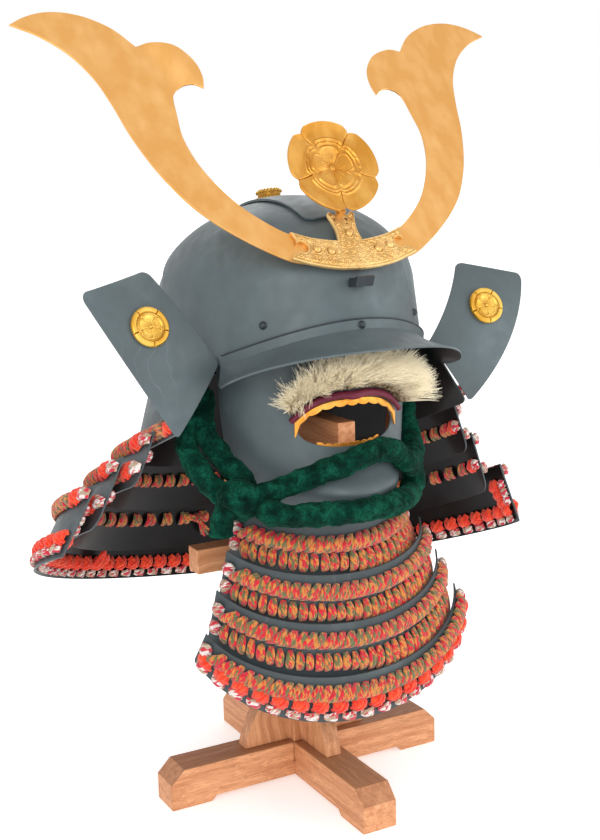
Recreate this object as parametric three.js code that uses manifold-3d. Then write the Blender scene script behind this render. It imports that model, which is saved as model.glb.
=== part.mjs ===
// A kabuto: a samurai helmet with its half mask and throat guard, on a wooden stand.
// Millimetres, +Z up. The face looks along -Y and X = 0 is the plane of symmetry.
// The stand's cross is centred on the Z axis until the last lines, which move the
// whole object so that its bounding box is centred on the Z axis and rests on Z = 0.
import * as THREE from "three";
import { mergeVertices } from "three/addons/utils/BufferGeometryUtils.js";
import Module from "manifold-3d";

const wasm = await Module();
wasm.setup();

// Driving dimensions

const GAP = 0.3;
const DEG = Math.PI / 180;

const BOWL = {
  halfWidth: 112.5, halfLength: 130, dome: 85, wall: 58, thickness: 2.5,
  centre: [-1.5, 12, 458], tilt: -12 * DEG, holeAt: 85, across: 32, up: 8,
};
const BROW = {
  lift: 1.3, thickness: 2.2, side: 91, upperSide: 106, top: 78, seamFront: -35, seamSide: -57, hem: 5,
};
const CROWN = { lift: 4.6, thickness: 2, halfWidth: 27, front: -104, back: 78 };
const TEHEN = { outer: 13, inner: 7, height: 14, sides: 14 };
const VISOR = {
  thickness: 1.8, lift: 4.3, reachAngle: 59, flange: 9, halfSpan: 118.5, endY: -95, frontY: -166,
  frontZ: -65, endZ: -80, sweep: 78,
};
const RIVET = { radius: 3.4, height: 2.6, sides: 8 };

const KUWAGATA = { foot: [0, -108.5, 515.2], lean: -37 * DEG, horn: 1.8, base: 3.6, relief: 1.1 };
// How far each horn's lobe is bent forward: they were bent by hand and don't match.
const LOBE_BEND = { left: 9, right: 0 };
const CREST = { radius: 42.5, up: 63, forward: 14, turn: 8 * DEG, thickness: 2.4, dish: 5, lobes: 5 };
const EAR = {
  thickness: 2, innerBulge: 8, outerBulge: 16, spread: 5, skew: 5.5, discU: 0.51, discV: 0.365,
  disc: 17, discThickness: 3,
};

// The neck guard's plates, top one first. Each rim is an oval seen from above: its half
// width, how far it reaches back from its widest point, where that is, its height there,
// how far its front ends flare, and the roll with which the laced plate hangs. All rims
// fall towards the back.
const LAMES = [
  { name: "lame_1", topWidth: 122, topBack: 134, topY: 8, topZ: 404, topFall: 0.215,
    width: 146, back: 146, y: 3, z: 333, fall: 0.37, end: 118, flare: 17, roll: 0.8 },
  { name: "lame_2", topWidth: 159, topBack: 154, topY: 0, topZ: 341, topFall: 0.36,
    width: 177, back: 172, y: 0, z: 295, fall: 0.38, end: 104, flare: 0, roll: 2 },
  { name: "lame_3", topWidth: 184, topBack: 175, topY: 3, topZ: 317, topFall: 0.38,
    width: 209, back: 184, y: 4, z: 256, fall: 0.4, end: 101, flare: 0, roll: 3.4 },
  { name: "lame_4", topWidth: 215, topBack: 197, topY: 0, topZ: 289, topFall: 0.39,
    width: 244, back: 206, y: -2, z: 229, fall: 0.4, end: 102, flare: 0, roll: 5 },
];
const LAME = { frontReach: 158, thickness: 1.6, steps: 18 };

// The throat guard's plates, top one first: half width and place of an edge's two ends,
// then the place of its middle.
const THROAT = [
  { name: "throat_1", width: 82, endY: -40, endZ: 277, midY: -103, midZ: 266,
    lowWidth: 92, lowEndY: -46, lowEndZ: 240, lowMidY: -102, lowMidZ: 218 },
  { name: "throat_2", width: 100, endY: -60, endZ: 252, midY: -112, midZ: 229,
    lowWidth: 107, lowEndY: -55, lowEndZ: 210, lowMidY: -108, lowMidZ: 177 },
  { name: "throat_3", width: 114, endY: -66, endZ: 220, midY: -119, midZ: 187,
    lowWidth: 122, lowEndY: -62, lowEndZ: 177, lowMidY: -116, lowMidZ: 132 },
  { name: "throat_4", width: 129, endY: -74, endZ: 186, midY: -126, midZ: 141,
    lowWidth: 139, lowEndY: -69, lowEndZ: 162, lowMidY: -124, lowMidZ: 99 },
];
// The lacing's gap is wider than the others, because the plates' facets are twisted.
const LACING_GAP = 2.1;
const THROAT_PLATE = { thickness: 1.6, sweep: 76, steps: 11 };

const MASK = { thickness: 1.8, backY: -25, sweep: 88, across: 15, up: 8 };
// The mask's sections, lowest first: height, half width, middle's depth, and how far
// the chin stands out of the plain oval there.
const MASK_SECTIONS = [
  { z: 272, width: 74, front: -104, chin: 0 },
  { z: 286, width: 77, front: -107, chin: 15 },
  { z: 304, width: 80, front: -109, chin: 25 },
  { z: 318, width: 82, front: -110, chin: 12 },
  { z: 332, width: 84, front: -111, chin: 0 },
  { z: 352, width: 86, front: -110, chin: -2 },
  { z: 374, width: 88, front: -109, chin: -1 },
  { z: 416, width: 90, front: -106, chin: 0 },
];
// The mouth's outline: its half width, and the heights of its top, corners and low edge.
const MOUTH = { halfWidth: 47, top: 379, corner: 357, low: 341 };
// The lip's arch over the mouth: its half width, top and drop towards the ends.
const LIP = { halfWidth: 51.5, top: 386.5, drop: 20.5, power: 3.2, radius: 3.4 };
const TEETH = { thickness: 1.6, upper: 9, lower: 9, band: 5.5, fang: 9, scallop: 1.5 };

const MOUSTACHE = { locks: 13, length: 45, width: 5, out: 6.5, above: 9.5 };
const CORD = { radius: 9.5, sides: 7, knot: 17 };
const BAR = { half: 144, width: 34, height: 38, end: 25, chamfer: 13, pad: 45, arch: 5 };
const POST = { width: 34, top: 512 };
const GUSSET = { reach: 47, height: 64, thickness: 16 };
const SIDE_BAR = { half: 106, depth: 20, height: 23, z: 229 };
const ARM = { end: -99, width: 17, height: 40, z: 340 };

const IRON = { color: 0x68747a, roughness: 0.55, metalness: 0.6 };
const BLACK = { color: 0x3a4145, roughness: 0.5, metalness: 0.5 };
const GOLD = { color: 0xe4a850, roughness: 0.32, metalness: 1 };
const BRASS = { color: 0xb8862f, roughness: 0.45, metalness: 1 };
const LACQUER = { color: 0x5a2233, roughness: 0.3, metalness: 0 };
const LACING = { color: 0xb0603c, roughness: 0.95, metalness: 0 };
const ORANGE = { color: 0xf0451c, roughness: 0.95, metalness: 0 };
const PALE = { color: 0xdfa8a4, roughness: 0.95, metalness: 0 };
const VELVET = { color: 0x0b4634, roughness: 1, metalness: 0 };
const BRISTLE = { color: 0xdccba8, roughness: 0.9, metalness: 0 };
const WOOD = { color: 0xc9875a, roughness: 0.7, metalness: 0 };

// Making solids

const v3 = (x, y, z) => new THREE.Vector3(x, y, z);
const mix = (a, b, t) => a + (b - a) * t;
const smooth = (a, b, x) => THREE.MathUtils.smoothstep(x, a, b);

function volume(position, index) {
  const corner = [v3(), v3(), v3()];
  let sum = 0;
  for (let i = 0; i < index.length; i += 3) {
    corner.forEach((c, k) => c.fromBufferAttribute(position, index[i + k]));
    sum += corner[0].dot(corner[1].cross(corner[2]));
  }
  return sum / 6;
}

// A closed solid from its points and triangles, turned so that its faces point outward.
function solid(points, faces) {
  const geometry = new THREE.BufferGeometry();
  const flat = points.flatMap((p) => [p.x, p.y, p.z]);
  geometry.setAttribute("position", new THREE.Float32BufferAttribute(flat, 3));
  const turned = volume(geometry.getAttribute("position"), faces) < 0;
  for (let i = 0; turned && i < faces.length; i += 3) {
    [faces[i], faces[i + 1]] = [faces[i + 1], faces[i]];
  }
  geometry.setIndex(faces);
  return geometry;
}

// The solid between two surfaces of (u, v), both from 0 to 1, closed by walls at its
// edges. One that runs all round in u has walls only at its two rims.
function between(outer, inner, across, up, around = false) {
  const points = [];
  const faces = [];
  const columns = around ? across : across + 1;
  for (const surface of [outer, inner]) {
    for (let j = 0; j <= up; j += 1) {
      for (let i = 0; i < columns; i += 1) points.push(surface(i / across, j / up));
    }
  }
  const at = (layer, i, j) => layer * columns * (up + 1) + j * columns + (i % columns);
  const quad = (a, b, c, d) => faces.push(a, b, c, a, c, d);
  for (let i = 0; i < across; i += 1) {
    for (let j = 0; j < up; j += 1) {
      quad(at(0, i, j), at(0, i + 1, j), at(0, i + 1, j + 1), at(0, i, j + 1));
      quad(at(1, i, j), at(1, i, j + 1), at(1, i + 1, j + 1), at(1, i + 1, j));
    }
    quad(at(0, i, 0), at(1, i, 0), at(1, i + 1, 0), at(0, i + 1, 0));
    quad(at(0, i, up), at(0, i + 1, up), at(1, i + 1, up), at(1, i, up));
  }
  for (let j = 0; !around && j < up; j += 1) {
    quad(at(0, 0, j), at(0, 0, j + 1), at(1, 0, j + 1), at(1, 0, j));
    quad(at(0, across, j), at(1, across, j), at(1, across, j + 1), at(0, across, j + 1));
  }
  return solid(points, faces);
}

// A surface moved along its normal, on the side that faces away from the point inside.
function lifted(surface, height, inside) {
  const step = 1e-3;
  return (u, v) => {
    const p = surface(u, v);
    const du = surface(u + step, v).sub(surface(u - step, v));
    const dv = surface(u, v + step).sub(surface(u, v - step));
    const normal = du.cross(dv).normalize();
    if (normal.dot(p.clone().sub(inside)) < 0) normal.negate();
    return p.addScaledVector(normal, typeof height === "function" ? height(u, v) : height);
  };
}

// A thin plate over a round outline, drawn as rings that shrink to the middle. The
// outline and the rings are in the plane, and place puts a point of layer 0, the front,
// or 1, the back, in space.
function ringPlate(outline, frontRings, backRings, place) {
  const count = outline.length;
  const points = [];
  const faces = [];
  const rims = [frontRings, backRings].map((rings, layer) => {
    const centre = points.length;
    const at = (ring, i) => centre + 1 + ring * count + (i % count);
    const face = (a, b, c) => (layer ? faces.push(a, c, b) : faces.push(a, b, c));
    points.push(place(0, 0, layer, 0));
    rings.forEach((ring, r) => outline.forEach(([x, y], i) => {
      points.push(place(x * ring, y * ring, layer, ring));
      if (r === 0) {
        face(centre, at(0, i), at(0, i + 1));
      } else {
        face(at(r - 1, i), at(r, i), at(r, i + 1));
        face(at(r - 1, i), at(r, i + 1), at(r - 1, i + 1));
      }
    }));
    return (i) => at(rings.length - 1, i);
  });
  for (let i = 0; i < count; i += 1) {
    faces.push(rims[0](i), rims[1](i), rims[1](i + 1));
    faces.push(rims[0](i), rims[1](i + 1), rims[0](i + 1));
  }
  return solid(points, faces);
}

// A flat outline in X and Z with its front face at y, as thick as asked towards +Y.
function slab(outline, thickness, y = 0) {
  const shape = outline instanceof THREE.Shape ? outline : new THREE.Shape(
    outline.map(([x, z]) => new THREE.Vector2(x, z)));
  const geometry = new THREE.ExtrudeGeometry(shape, {
    depth: thickness, bevelEnabled: false, curveSegments: 6 });
  return geometry.rotateX(Math.PI / 2).translate(0, y + thickness, 0);
}

function tube(points, radius, sides, steps) {
  const section = new THREE.Shape(new THREE.Path().absarc(0, 0, radius, 0, 2 * Math.PI)
    .getSpacedPoints(sides).slice(0, sides));
  return new THREE.ExtrudeGeometry(section, {
    steps, bevelEnabled: false, extrudePath: new THREE.CatmullRomCurve3(points) });
}

function box(size, centre) {
  return new THREE.BoxGeometry(...size).translate(...centre);
}

function toManifold(geometry) {
  const plain = geometry.clone();
  plain.deleteAttribute("normal");
  plain.deleteAttribute("uv");
  const merged = mergeVertices(plain, 1e-3);
  return new wasm.Manifold(new wasm.Mesh({
    numProp: 3,
    vertProperties: new Float32Array(merged.getAttribute("position").array),
    triVerts: new Uint32Array(merged.getIndex().array),
  }));
}

function fromManifold(body) {
  const mesh = body.getMesh();
  const geometry = new THREE.BufferGeometry();
  geometry.setAttribute("position", new THREE.BufferAttribute(mesh.vertProperties, 3));
  geometry.setIndex(new THREE.BufferAttribute(mesh.triVerts, 1));
  return geometry;
}

function join(...geometries) {
  const [first, ...rest] = geometries.map(toManifold);
  return fromManifold(rest.reduce((body, next) => body.add(next), first));
}

function cut(geometry, ...tools) {
  const bodies = tools.map(toManifold);
  return fromManifold(bodies.reduce((body, next) => body.subtract(next), toManifold(geometry)));
}

function mesh(name, geometry, finish) {
  const piece = new THREE.Mesh(geometry, new THREE.MeshStandardMaterial(finish));
  piece.name = name;
  return piece;
}

// Both sides' names and signs: the left side is at -X.
const SIDES = [["left", -1], ["right", 1]];

// The bowl

// A point of the bowl: theta is the angle from the front, and along is a height below
// the dome's base in mm where it is negative, or the angle up the dome in degrees.
function bowlPoint(theta, along, lift = 0) {
  const phi = Math.max(along, 0) * DEG;
  const radius = Math.cos(phi);
  const p = v3(BOWL.halfWidth * radius * Math.sin(theta),
    -BOWL.halfLength * radius * Math.cos(theta),
    along < 0 ? along : BOWL.dome * Math.sin(phi));
  const normal = v3(p.x / BOWL.halfWidth ** 2, p.y / BOWL.halfLength ** 2,
    Math.max(p.z, 0) / BOWL.dome ** 2).normalize();
  return p.addScaledVector(normal, lift);
}

function bowlAlong(v, low, high) {
  const wallShare = 0.22;
  return v < wallShare ? low * (1 - v / wallShare) : high * (v - wallShare) / (1 - wallShare);
}

function bowl() {
  const surface = (lift) => (u, v) => bowlPoint(u * 2 * Math.PI,
    bowlAlong(v, -BOWL.wall, BOWL.holeAt), lift);
  return between(surface(0), surface(-BOWL.thickness), BOWL.across, BOWL.up, true);
}

// The seam where the visor's flange ends on the brow plate, which goes on behind it.
function seamHeight(theta) {
  return mix(BROW.seamFront, BROW.seamSide, Math.sin(theta) ** 2);
}

function browPlate() {
  const surface = (height) => (u, v) => {
    const rough = bowlAlong(v, BROW.seamSide, BROW.top);
    const side = mix(BROW.side, BROW.upperSide, smooth(4, 40, rough)) * DEG;
    const theta = mix(-side, side, u);
    return bowlPoint(theta, bowlAlong(v, seamHeight(theta) - BROW.hem, BROW.top), height);
  };
  return between(surface(BROW.lift + BROW.thickness), surface(BROW.lift), 20, 8);
}

// The plate over the crown, from the forehead back past the top, with the top's hole.
function crownPlate() {
  const surface = (height) => (u, v) => {
    const x = mix(-CROWN.halfWidth, CROWN.halfWidth, u) * mix(1, 0.86, Math.abs(v - 0.5) * 2);
    const y = mix(CROWN.front, CROWN.back, v);
    const flat = Math.hypot(x / BOWL.halfWidth, y / BOWL.halfLength);
    return bowlPoint(Math.atan2(x / BOWL.halfWidth, -y / BOWL.halfLength),
      Math.acos(flat) / DEG, height);
  };
  const plate = between(surface(CROWN.lift + CROWN.thickness), surface(CROWN.lift), 4, 10);
  const hole = new THREE.CylinderGeometry(TEHEN.outer + 1, TEHEN.outer + 1, 40, TEHEN.sides);
  return cut(plate, hole.rotateX(Math.PI / 2).translate(0, 0, BOWL.dome));
}

// The fitting round the hole in the crown: a low collar under a ring of beads.
function tehen() {
  const foot = BOWL.dome + GAP + 0.6;
  const { outer, inner, height } = TEHEN;
  const profile = [[inner, foot], [outer, foot], [outer, foot + 3], [outer - 3, foot + 4.5],
    [outer - 2, foot + height - 2], [outer - 4, foot + height], [inner, foot + height - 1]];
  const points = profile.map(([r, z]) => new THREE.Vector2(r, z));
  return new THREE.LatheGeometry([...points, points[0]], TEHEN.sides).rotateX(Math.PI / 2);
}

function visor() {
  const reach = VISOR.reachAngle * DEG;
  const sweep = VISOR.sweep * DEG;
  const surface = (u, v) => {
    const t = 2 * u - 1;
    const theta = t * reach;
    const flangeTop = bowlPoint(theta, seamHeight(theta), VISOR.lift);
    const flangeLow = bowlPoint(theta, seamHeight(theta) - VISOR.flange, VISOR.lift);
    if (v < 0.2) return flangeTop.lerp(flangeLow, v / 0.2);
    const out = (Math.cos(t * sweep) - Math.cos(sweep)) / (1 - Math.cos(sweep));
    const edge = v3(VISOR.halfSpan * Math.sin(t * sweep) / Math.sin(sweep),
      mix(VISOR.endY, VISOR.frontY, out), mix(VISOR.frontZ, VISOR.endZ, Math.abs(t) ** 2.6));
    const bend = flangeLow.clone().lerp(edge, 0.4).add(v3(0, 3, -3 - 11 * t ** 4));
    return new THREE.QuadraticBezierCurve3(flangeLow, bend, edge).getPoint((v - 0.2) / 0.8);
  };
  return between(surface, lifted(surface, VISOR.thickness, v3(0, 0, -60)), 22, 5);
}

function rivet() {
  const { radius, height, sides } = RIVET;
  const profile = [[0, 0], [radius, 0], [radius * 0.9, height * 0.6], [radius * 0.5, height],
    [0, height]].map(([r, z]) => new THREE.Vector2(r, z));
  return new THREE.LatheGeometry(profile, sides).rotateX(Math.PI / 2);
}

// The rivets' places: name, angle from the front, height, and the face they stand on.
const RIVETS = [
  ["brow_rivet_left", -39.5, -31, BROW.lift + BROW.thickness],
  ["brow_rivet_right", 39.5, -31, BROW.lift + BROW.thickness],
  ["visor_rivet", 0, -40, VISOR.lift + VISOR.thickness],
];

function rivets() {
  return RIVETS.map(([name, angle, along, face]) => {
    const piece = mesh(name, rivet(), BLACK);
    const foot = bowlPoint(angle * DEG, along, face + GAP);
    const out = bowlPoint(angle * DEG, along, face + 10).sub(foot).normalize();
    piece.position.copy(foot);
    piece.quaternion.setFromUnitVectors(v3(0, 0, 1), out);
    return piece;
  });
}

// The horned crest

// One horn's outline in the crest's own plane: x outward from the middle, z up the plate.
const HORN_OUTER = [[40, -21], [62, -15], [92, 5], [117, 27], [134, 48], [150, 78], [162, 112],
  [169, 143], [178, 172], [193, 197], [214, 216], [236, 227]];
const HORN_TOP = [[236, 227], [206, 240], [193, 242], [164, 235], [147, 224], [132, 206]];
const HORN_LOBE = [[132, 206], [119, 208], [100, 200], [88, 184], [85, 168], [87, 155]];
const HORN_HOOK = [[87, 155], [93, 160], [102, 161], [112, 154]];
const HORN_INNER = [[112, 154], [115, 132], [117, 110], [112, 85], [102, 62], [86, 38],
  [62, 16], [40, 3]];

function smoothed(points, count) {
  const curve = new THREE.SplineCurve(points.map(([x, y]) => new THREE.Vector2(x, y)));
  return curve.getPoints(count).map((p) => [p.x, p.y]);
}

// How far the lobe at a horn's inner side is bent forward at a point of the outline.
function lobeBend([x, z], bend) {
  const [rootX, rootZ] = HORN_HOOK.at(-1);
  const [notchX, notchZ] = HORN_LOBE[0];
  const length = Math.hypot(notchX - rootX, notchZ - rootZ);
  const beyond = ((z - rootZ) * (notchX - rootX) - (x - rootX) * (notchZ - rootZ)) / length;
  return z < rootZ - 1 ? 0 : bend * smooth(0, 30, beyond);
}

function horn(side, bend) {
  const rows = [smoothed(HORN_OUTER, 18), smoothed(HORN_TOP, 7), smoothed(HORN_LOBE, 8),
    smoothed(HORN_HOOK, 4), smoothed(HORN_INNER, 12)];
  const outline = rows.flatMap((row, k) => (k ? row.slice(1) : row));
  const plate = slab(outline.map(([x, z]) => [side * x, z]), KUWAGATA.horn, GAP);
  const position = plate.getAttribute("position");
  for (let i = 0; i < position.count; i += 1) {
    const at = [side * position.getX(i), position.getZ(i)];
    position.setY(i, position.getY(i) - lobeBend(at, bend));
  }
  return plate;
}

const BASE_END = [[60, -15.5], [56, -11.5], [52.2, -10.8], [52.2, -2], [50.6, 2.5], [53, 10]];
// The holes through the cast plate: each one's place and radius. The first bites into
// the crescent's ends, the next is the stem's comma, and the last parts its two curls.
const BASE_HOLES = [[46.9, -5.2, 5.4], [7.2, 19.6, 1.9], [0, 14.6, 3.6]];

// The cast plate over the horns' feet: a crescent with a stem that widens at its head.
function basePlate() {
  const { base, relief } = KUWAGATA;
  const bottom = smoothed([[0, -29], [20, -27.5], [40, -23], [60, -15.5]], 7);
  const top = smoothed([[53, 10], [36, 3.5], [22, 0.5], [11.5, -1]], 5);
  const stem = [[10.2, 8], [12.6, 24], [11.2, 27.4], [7.8, 25.6], [3.4, 17.5], [0, 17.5]];
  const half = [...bottom, ...BASE_END.slice(1), ...top.slice(1), ...stem];
  const mirrored = half.slice(1, -1).reverse().map(([x, z]) => [-x, z]);
  const plate = slab([...half, ...mirrored], base, -base);
  const raised = [];
  const boss = (x, z, radius) => {
    const dome = new THREE.SphereGeometry(radius, 7, 4).scale(1, 0.9, 1);
    raised.push(dome.translate(x, -base, z));
  };
  SIDES.forEach(([, s]) => {
    boss(s * 35, -8.5, 3.4);
    boss(s * 22, -12, 3.4);
    const leaf = [[53, -15.5], [40, -19.5], [20, -24], [4, -25.5]];
    const vine = leaf.map(([x, z]) => v3(s * x, -base, z));
    raised.push(tube(vine, relief, 4, 4));
    const spray = [[46, 3.5], [38, -1], [24, -4], [14, -8], [9, -15], [16, -20], [26, -18]];
    raised.push(tube(spray.map(([x, z]) => v3(s * x, -base, z)), relief, 4, 7));
    const curl = [[8, 0], [6, 7], [8, 15.5]];
    raised.push(tube(curl.map(([x, z]) => v3(s * x, -base, z)), relief, 4, 3));
  });
  boss(0, 5, 3.6);
  const holes = BASE_HOLES.flatMap(([x, z, radius]) => (x ? [-x, x] : [x]).map((at) => (
    new THREE.CylinderGeometry(radius, radius, 30, 10).translate(at, 0, z))));
  return cut(join(plate, ...raised), ...holes);
}

// The five-petal rosette: dished lobes with a notch between each two, a raised ring and
// a raised inner flower, and a lug behind that meets the stem.
function crest() {
  const { radius, thickness, dish, lobes } = CREST;
  const steps = 35;
  const outline = Array.from({ length: steps }, (_, i) => {
    const angle = (i / steps) * 2 * Math.PI;
    const lobe = Math.abs(Math.sin((angle + Math.PI / 2) * lobes / 2));
    const r = mix(0.905, 1, Math.min(1, lobe * 2.2) ** 0.8);
    return [r * Math.cos(angle), r * Math.sin(angle)];
  });
  const rings = [0.2, 0.46, 0.54, 0.62, 0.8, 1];
  const face = (x, z, layer, ring) => {
    const angle = Math.atan2(z, x);
    const lobe = Math.abs(Math.sin((angle + Math.PI / 2) * lobes / 2));
    const inner = 1.6 * smooth(0.1, 0.22, ring) * (1 - smooth(0.45, 0.5, ring)) * lobe;
    const rim = 1.2 * smooth(0.5, 0.6, ring) * (1 - smooth(0.6, 0.66, ring));
    const cup = dish * ring * ring - 1.5 * (1 - lobe) * smooth(0.66, 0.85, ring);
    const lift = layer ? dish * ring * ring * 0.9 : cup + thickness + inner + rim;
    return v3(x * radius, -lift, z * radius);
  };
  const lug = slab([[-5, 4 - radius], [5, 4 - radius], [4, 14 - radius], [-4, 14 - radius]],
    7.5, -3);
  return join(ringPlate(outline, rings, [0.5, 1], face), lug);
}

// The hook on the bowl's front that the crest's foot stands in.
function bracket() {
  const profile = [[-121, 478], [-132.6, 479], [-135.6, 487], [-133.1, 488], [-131.1, 484.5],
    [-121.6, 485.5]];
  const shape = new THREE.Shape(profile.map(([y, z]) => new THREE.Vector2(y, z)));
  const geometry = new THREE.ExtrudeGeometry(shape, { depth: 17, bevelEnabled: false });
  geometry.rotateX(Math.PI / 2).rotateZ(Math.PI / 2);
  return geometry.translate(-8.5, 0, 0);
}

// The ears

const EAR_CORNERS = {
  topOut: v3(219, -57, 477), topIn: v3(155, -41, 491),
  lowOut: v3(147, -73.9, 358), lowIn: v3(105, -69.8, 417),
};

// A point of the left or right ear: u runs from its outer edge in, v from top to bottom.
function earPoint(side, u, v) {
  const top = EAR_CORNERS.topOut.clone().lerp(EAR_CORNERS.topIn, u);
  const low = EAR_CORNERS.lowOut.clone().lerp(EAR_CORNERS.lowIn, u);
  const p = top.lerp(low, v);
  const bow = 4 * v * (1 - v);
  p.y -= bow * mix(EAR.outerBulge, EAR.innerBulge, u) + 3 * 4 * u * (1 - u);
  p.x = side * (p.x + EAR.spread * bow * (1 - u));
  p.z -= side * EAR.skew * (1 - v);
  return p;
}

function ear(side) {
  const outline = [[1, -1], [1, 0], [0.98, 0.88], [0.84, 1], [0, 1.03], [-0.86, 1],
    [-0.99, 0.88], [-1, 0], [-1, -1], [0, -1]];
  const dense = [];
  outline.forEach(([x, y], i) => {
    const [nx, ny] = outline[(i + 1) % outline.length];
    dense.push([x, y], [mix(x, nx, 0.5), mix(y, ny, 0.5)]);
  });
  const surface = (u, v) => earPoint(side, u, v);
  const back = lifted(surface, EAR.thickness, v3(side * 160, -900, 430));
  return ringPlate(dense, [0.5, 1], [0.5, 1], (x, y, layer) => {
    const [u, v] = [(x + 1) / 2, (1 - y) / 2];
    return layer ? back(u, v) : surface(u, v);
  });
}

// A small rosette of the same five lobes, with its own flat back.
function earDisc() {
  const steps = 20;
  const outline = Array.from({ length: steps }, (_, i) => {
    const angle = (i / steps) * 2 * Math.PI;
    return [Math.cos(angle), Math.sin(angle)];
  });
  const face = (x, z, layer, ring) => {
    if (layer) return v3(x * EAR.disc, 0, z * EAR.disc);
    const lobe = Math.abs(Math.sin((Math.atan2(z, x) + Math.PI / 2) * 2.5));
    const ridge = 1.4 * smooth(0.6, 0.78, ring) * (1 - 0.6 * smooth(0.85, 1, ring));
    const petal = 1.2 * smooth(0.1, 0.3, ring) * (1 - smooth(0.5, 0.6, ring)) * lobe;
    return v3(x * EAR.disc, -(EAR.discThickness * 0.6 + ridge + petal), z * EAR.disc);
  };
  return ringPlate(outline, [0.3, 0.58, 0.74, 1], [1], face);
}

function earDiscAt(side) {
  const piece = mesh(`ear_disc_${side < 0 ? "left" : "right"}`, earDisc(), GOLD);
  const [u, v] = [EAR.discU, EAR.discV];
  const surface = (a, b) => earPoint(side, a, b);
  const front = lifted(surface, 0.8, v3(side * 160, 900, 430));
  const centre = front(u, v);
  const out = centre.clone().sub(surface(u, v)).normalize();
  piece.position.copy(centre);
  piece.quaternion.setFromUnitVectors(v3(0, -1, 0), out);
  return piece;
}

// The neck guard

// A lame's point: u from its left front end round the back to its right one, v downward.
function lamePoint(lame, u, v) {
  const turn = mix(-lame.end, lame.end, u) * DEG;
  const front = Math.max(0, (Math.abs(turn) / DEG - 90) / (lame.end - 90));
  const rim = (width, back, y, z, fall, flare) => {
    const depth = Math.cos(turn) > 0 ? back : LAME.frontReach;
    const reach = depth * Math.cos(turn);
    const x = width * Math.sin(turn) + Math.sign(turn) * flare * front ** 2;
    return v3(x, y + reach, z - fall * reach);
  };
  const top = rim(lame.topWidth, lame.topBack, lame.topY, lame.topZ, lame.topFall, 0);
  return top.lerp(rim(lame.width, lame.back, lame.y, lame.z, lame.fall, lame.flare), v);
}

const LAME_INSIDE = v3(0, 20, 200);

function rolled(piece, lame) {
  const height = (lame.topZ + lame.z) / 2;
  const hanger = new THREE.Group();
  hanger.position.z = height;
  hanger.rotation.y = lame.roll * DEG;
  piece.position.z = -height;
  hanger.add(piece);
  return hanger;
}

function lamePlate(lame) {
  const surface = (u, v) => lamePoint(lame, u, v);
  return between(surface, lifted(surface, -LAME.thickness, LAME_INSIDE), LAME.steps, 1);
}

// A row of lacing laid on a plate: a bar between two heights of the plate, divided as
// the plate is so that the two stay parallel.
function lacingRow(surface, inside, from, to, height, steps) {
  const strip = (u, v) => surface(u, mix(from, to, v));
  const foot = LACING_GAP;
  return between(lifted(strip, foot + height, inside), lifted(strip, foot, inside), steps, 1);
}

// The rows on each lame: its number, the row's name, its span down the plate, height.
const LAME_ROWS = [
  [0, "low", 0.78, 0.92, 5, LACING],
  [1, "high", 0.04, 0.24, 7, LACING],
  [1, "low", 0.56, 0.78, 6.5, LACING],
  [2, "high", 0.04, 0.24, 7, LACING],
  [2, "low", 0.52, 0.74, 7, LACING],
  [3, "high", 0.04, 0.22, 7, LACING],
  [3, "knots", 0.66, 0.8, 6, ORANGE],
  [3, "edge", 0.83, 0.94, 4.5, PALE],
];

function neckGuard() {
  const group = new THREE.Group();
  for (const lame of LAMES) {
    group.add(rolled(mesh(lame.name, lamePlate(lame), IRON), lame));
  }
  for (const [number, row, from, to, height, finish] of LAME_ROWS) {
    const lame = LAMES[number];
    const surface = (u, v) => lamePoint(lame, u, v);
    const strip = lacingRow(surface, LAME_INSIDE, from, to, height, LAME.steps);
    group.add(rolled(mesh(`${lame.name}_lacing_${row}`, strip, finish), lame));
  }
  return group;
}

// The throat guard

function throatPoint(plate, u, v) {
  const t = 2 * u - 1;
  const sweep = THROAT_PLATE.sweep * DEG;
  const out = (Math.cos(t * sweep) - Math.cos(sweep)) / (1 - Math.cos(sweep));
  const edge = (width, endY, endZ, midY, midZ) => v3(
    width * Math.sin(t * sweep) / Math.sin(sweep), mix(endY, midY, out), mix(endZ, midZ, out));
  const top = edge(plate.width, plate.endY, plate.endZ, plate.midY, plate.midZ);
  return top.lerp(edge(plate.lowWidth, plate.lowEndY, plate.lowEndZ, plate.lowMidY,
    plate.lowMidZ), v);
}

const THROAT_INSIDE = v3(0, 0, 190);

const THROAT_ROWS = [
  [0, "rope", 0.14, 0.34, 5, LACING],
  [0, "wraps", 0.44, 0.72, 4, LACING],
  [1, "rope", 0.18, 0.4, 5, LACING],
  [1, "wraps", 0.52, 0.78, 4, LACING],
  [2, "rope", 0.17, 0.37, 5, LACING],
  [2, "wraps", 0.5, 0.76, 4, LACING],
  [3, "rope", 0.24, 0.46, 5, LACING],
  [3, "knots", 0.5, 0.72, 5, ORANGE],
  [3, "edge", 0.76, 0.93, 4, PALE],
];

function throatGuard() {
  const group = new THREE.Group();
  for (const plate of THROAT) {
    const surface = (u, v) => throatPoint(plate, u, v);
    const inner = lifted(surface, -THROAT_PLATE.thickness, THROAT_INSIDE);
    group.add(mesh(plate.name, between(surface, inner, THROAT_PLATE.steps, 1), IRON));
  }
  for (const [number, row, from, to, height, finish] of THROAT_ROWS) {
    const plate = THROAT[number];
    const surface = (u, v) => throatPoint(plate, u, v);
    const strip = lacingRow(surface, THROAT_INSIDE, from, to, height, THROAT_PLATE.steps);
    group.add(mesh(`${plate.name}_lacing_${row}`, strip, finish));
  }
  return group;
}

// The half mask

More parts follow.
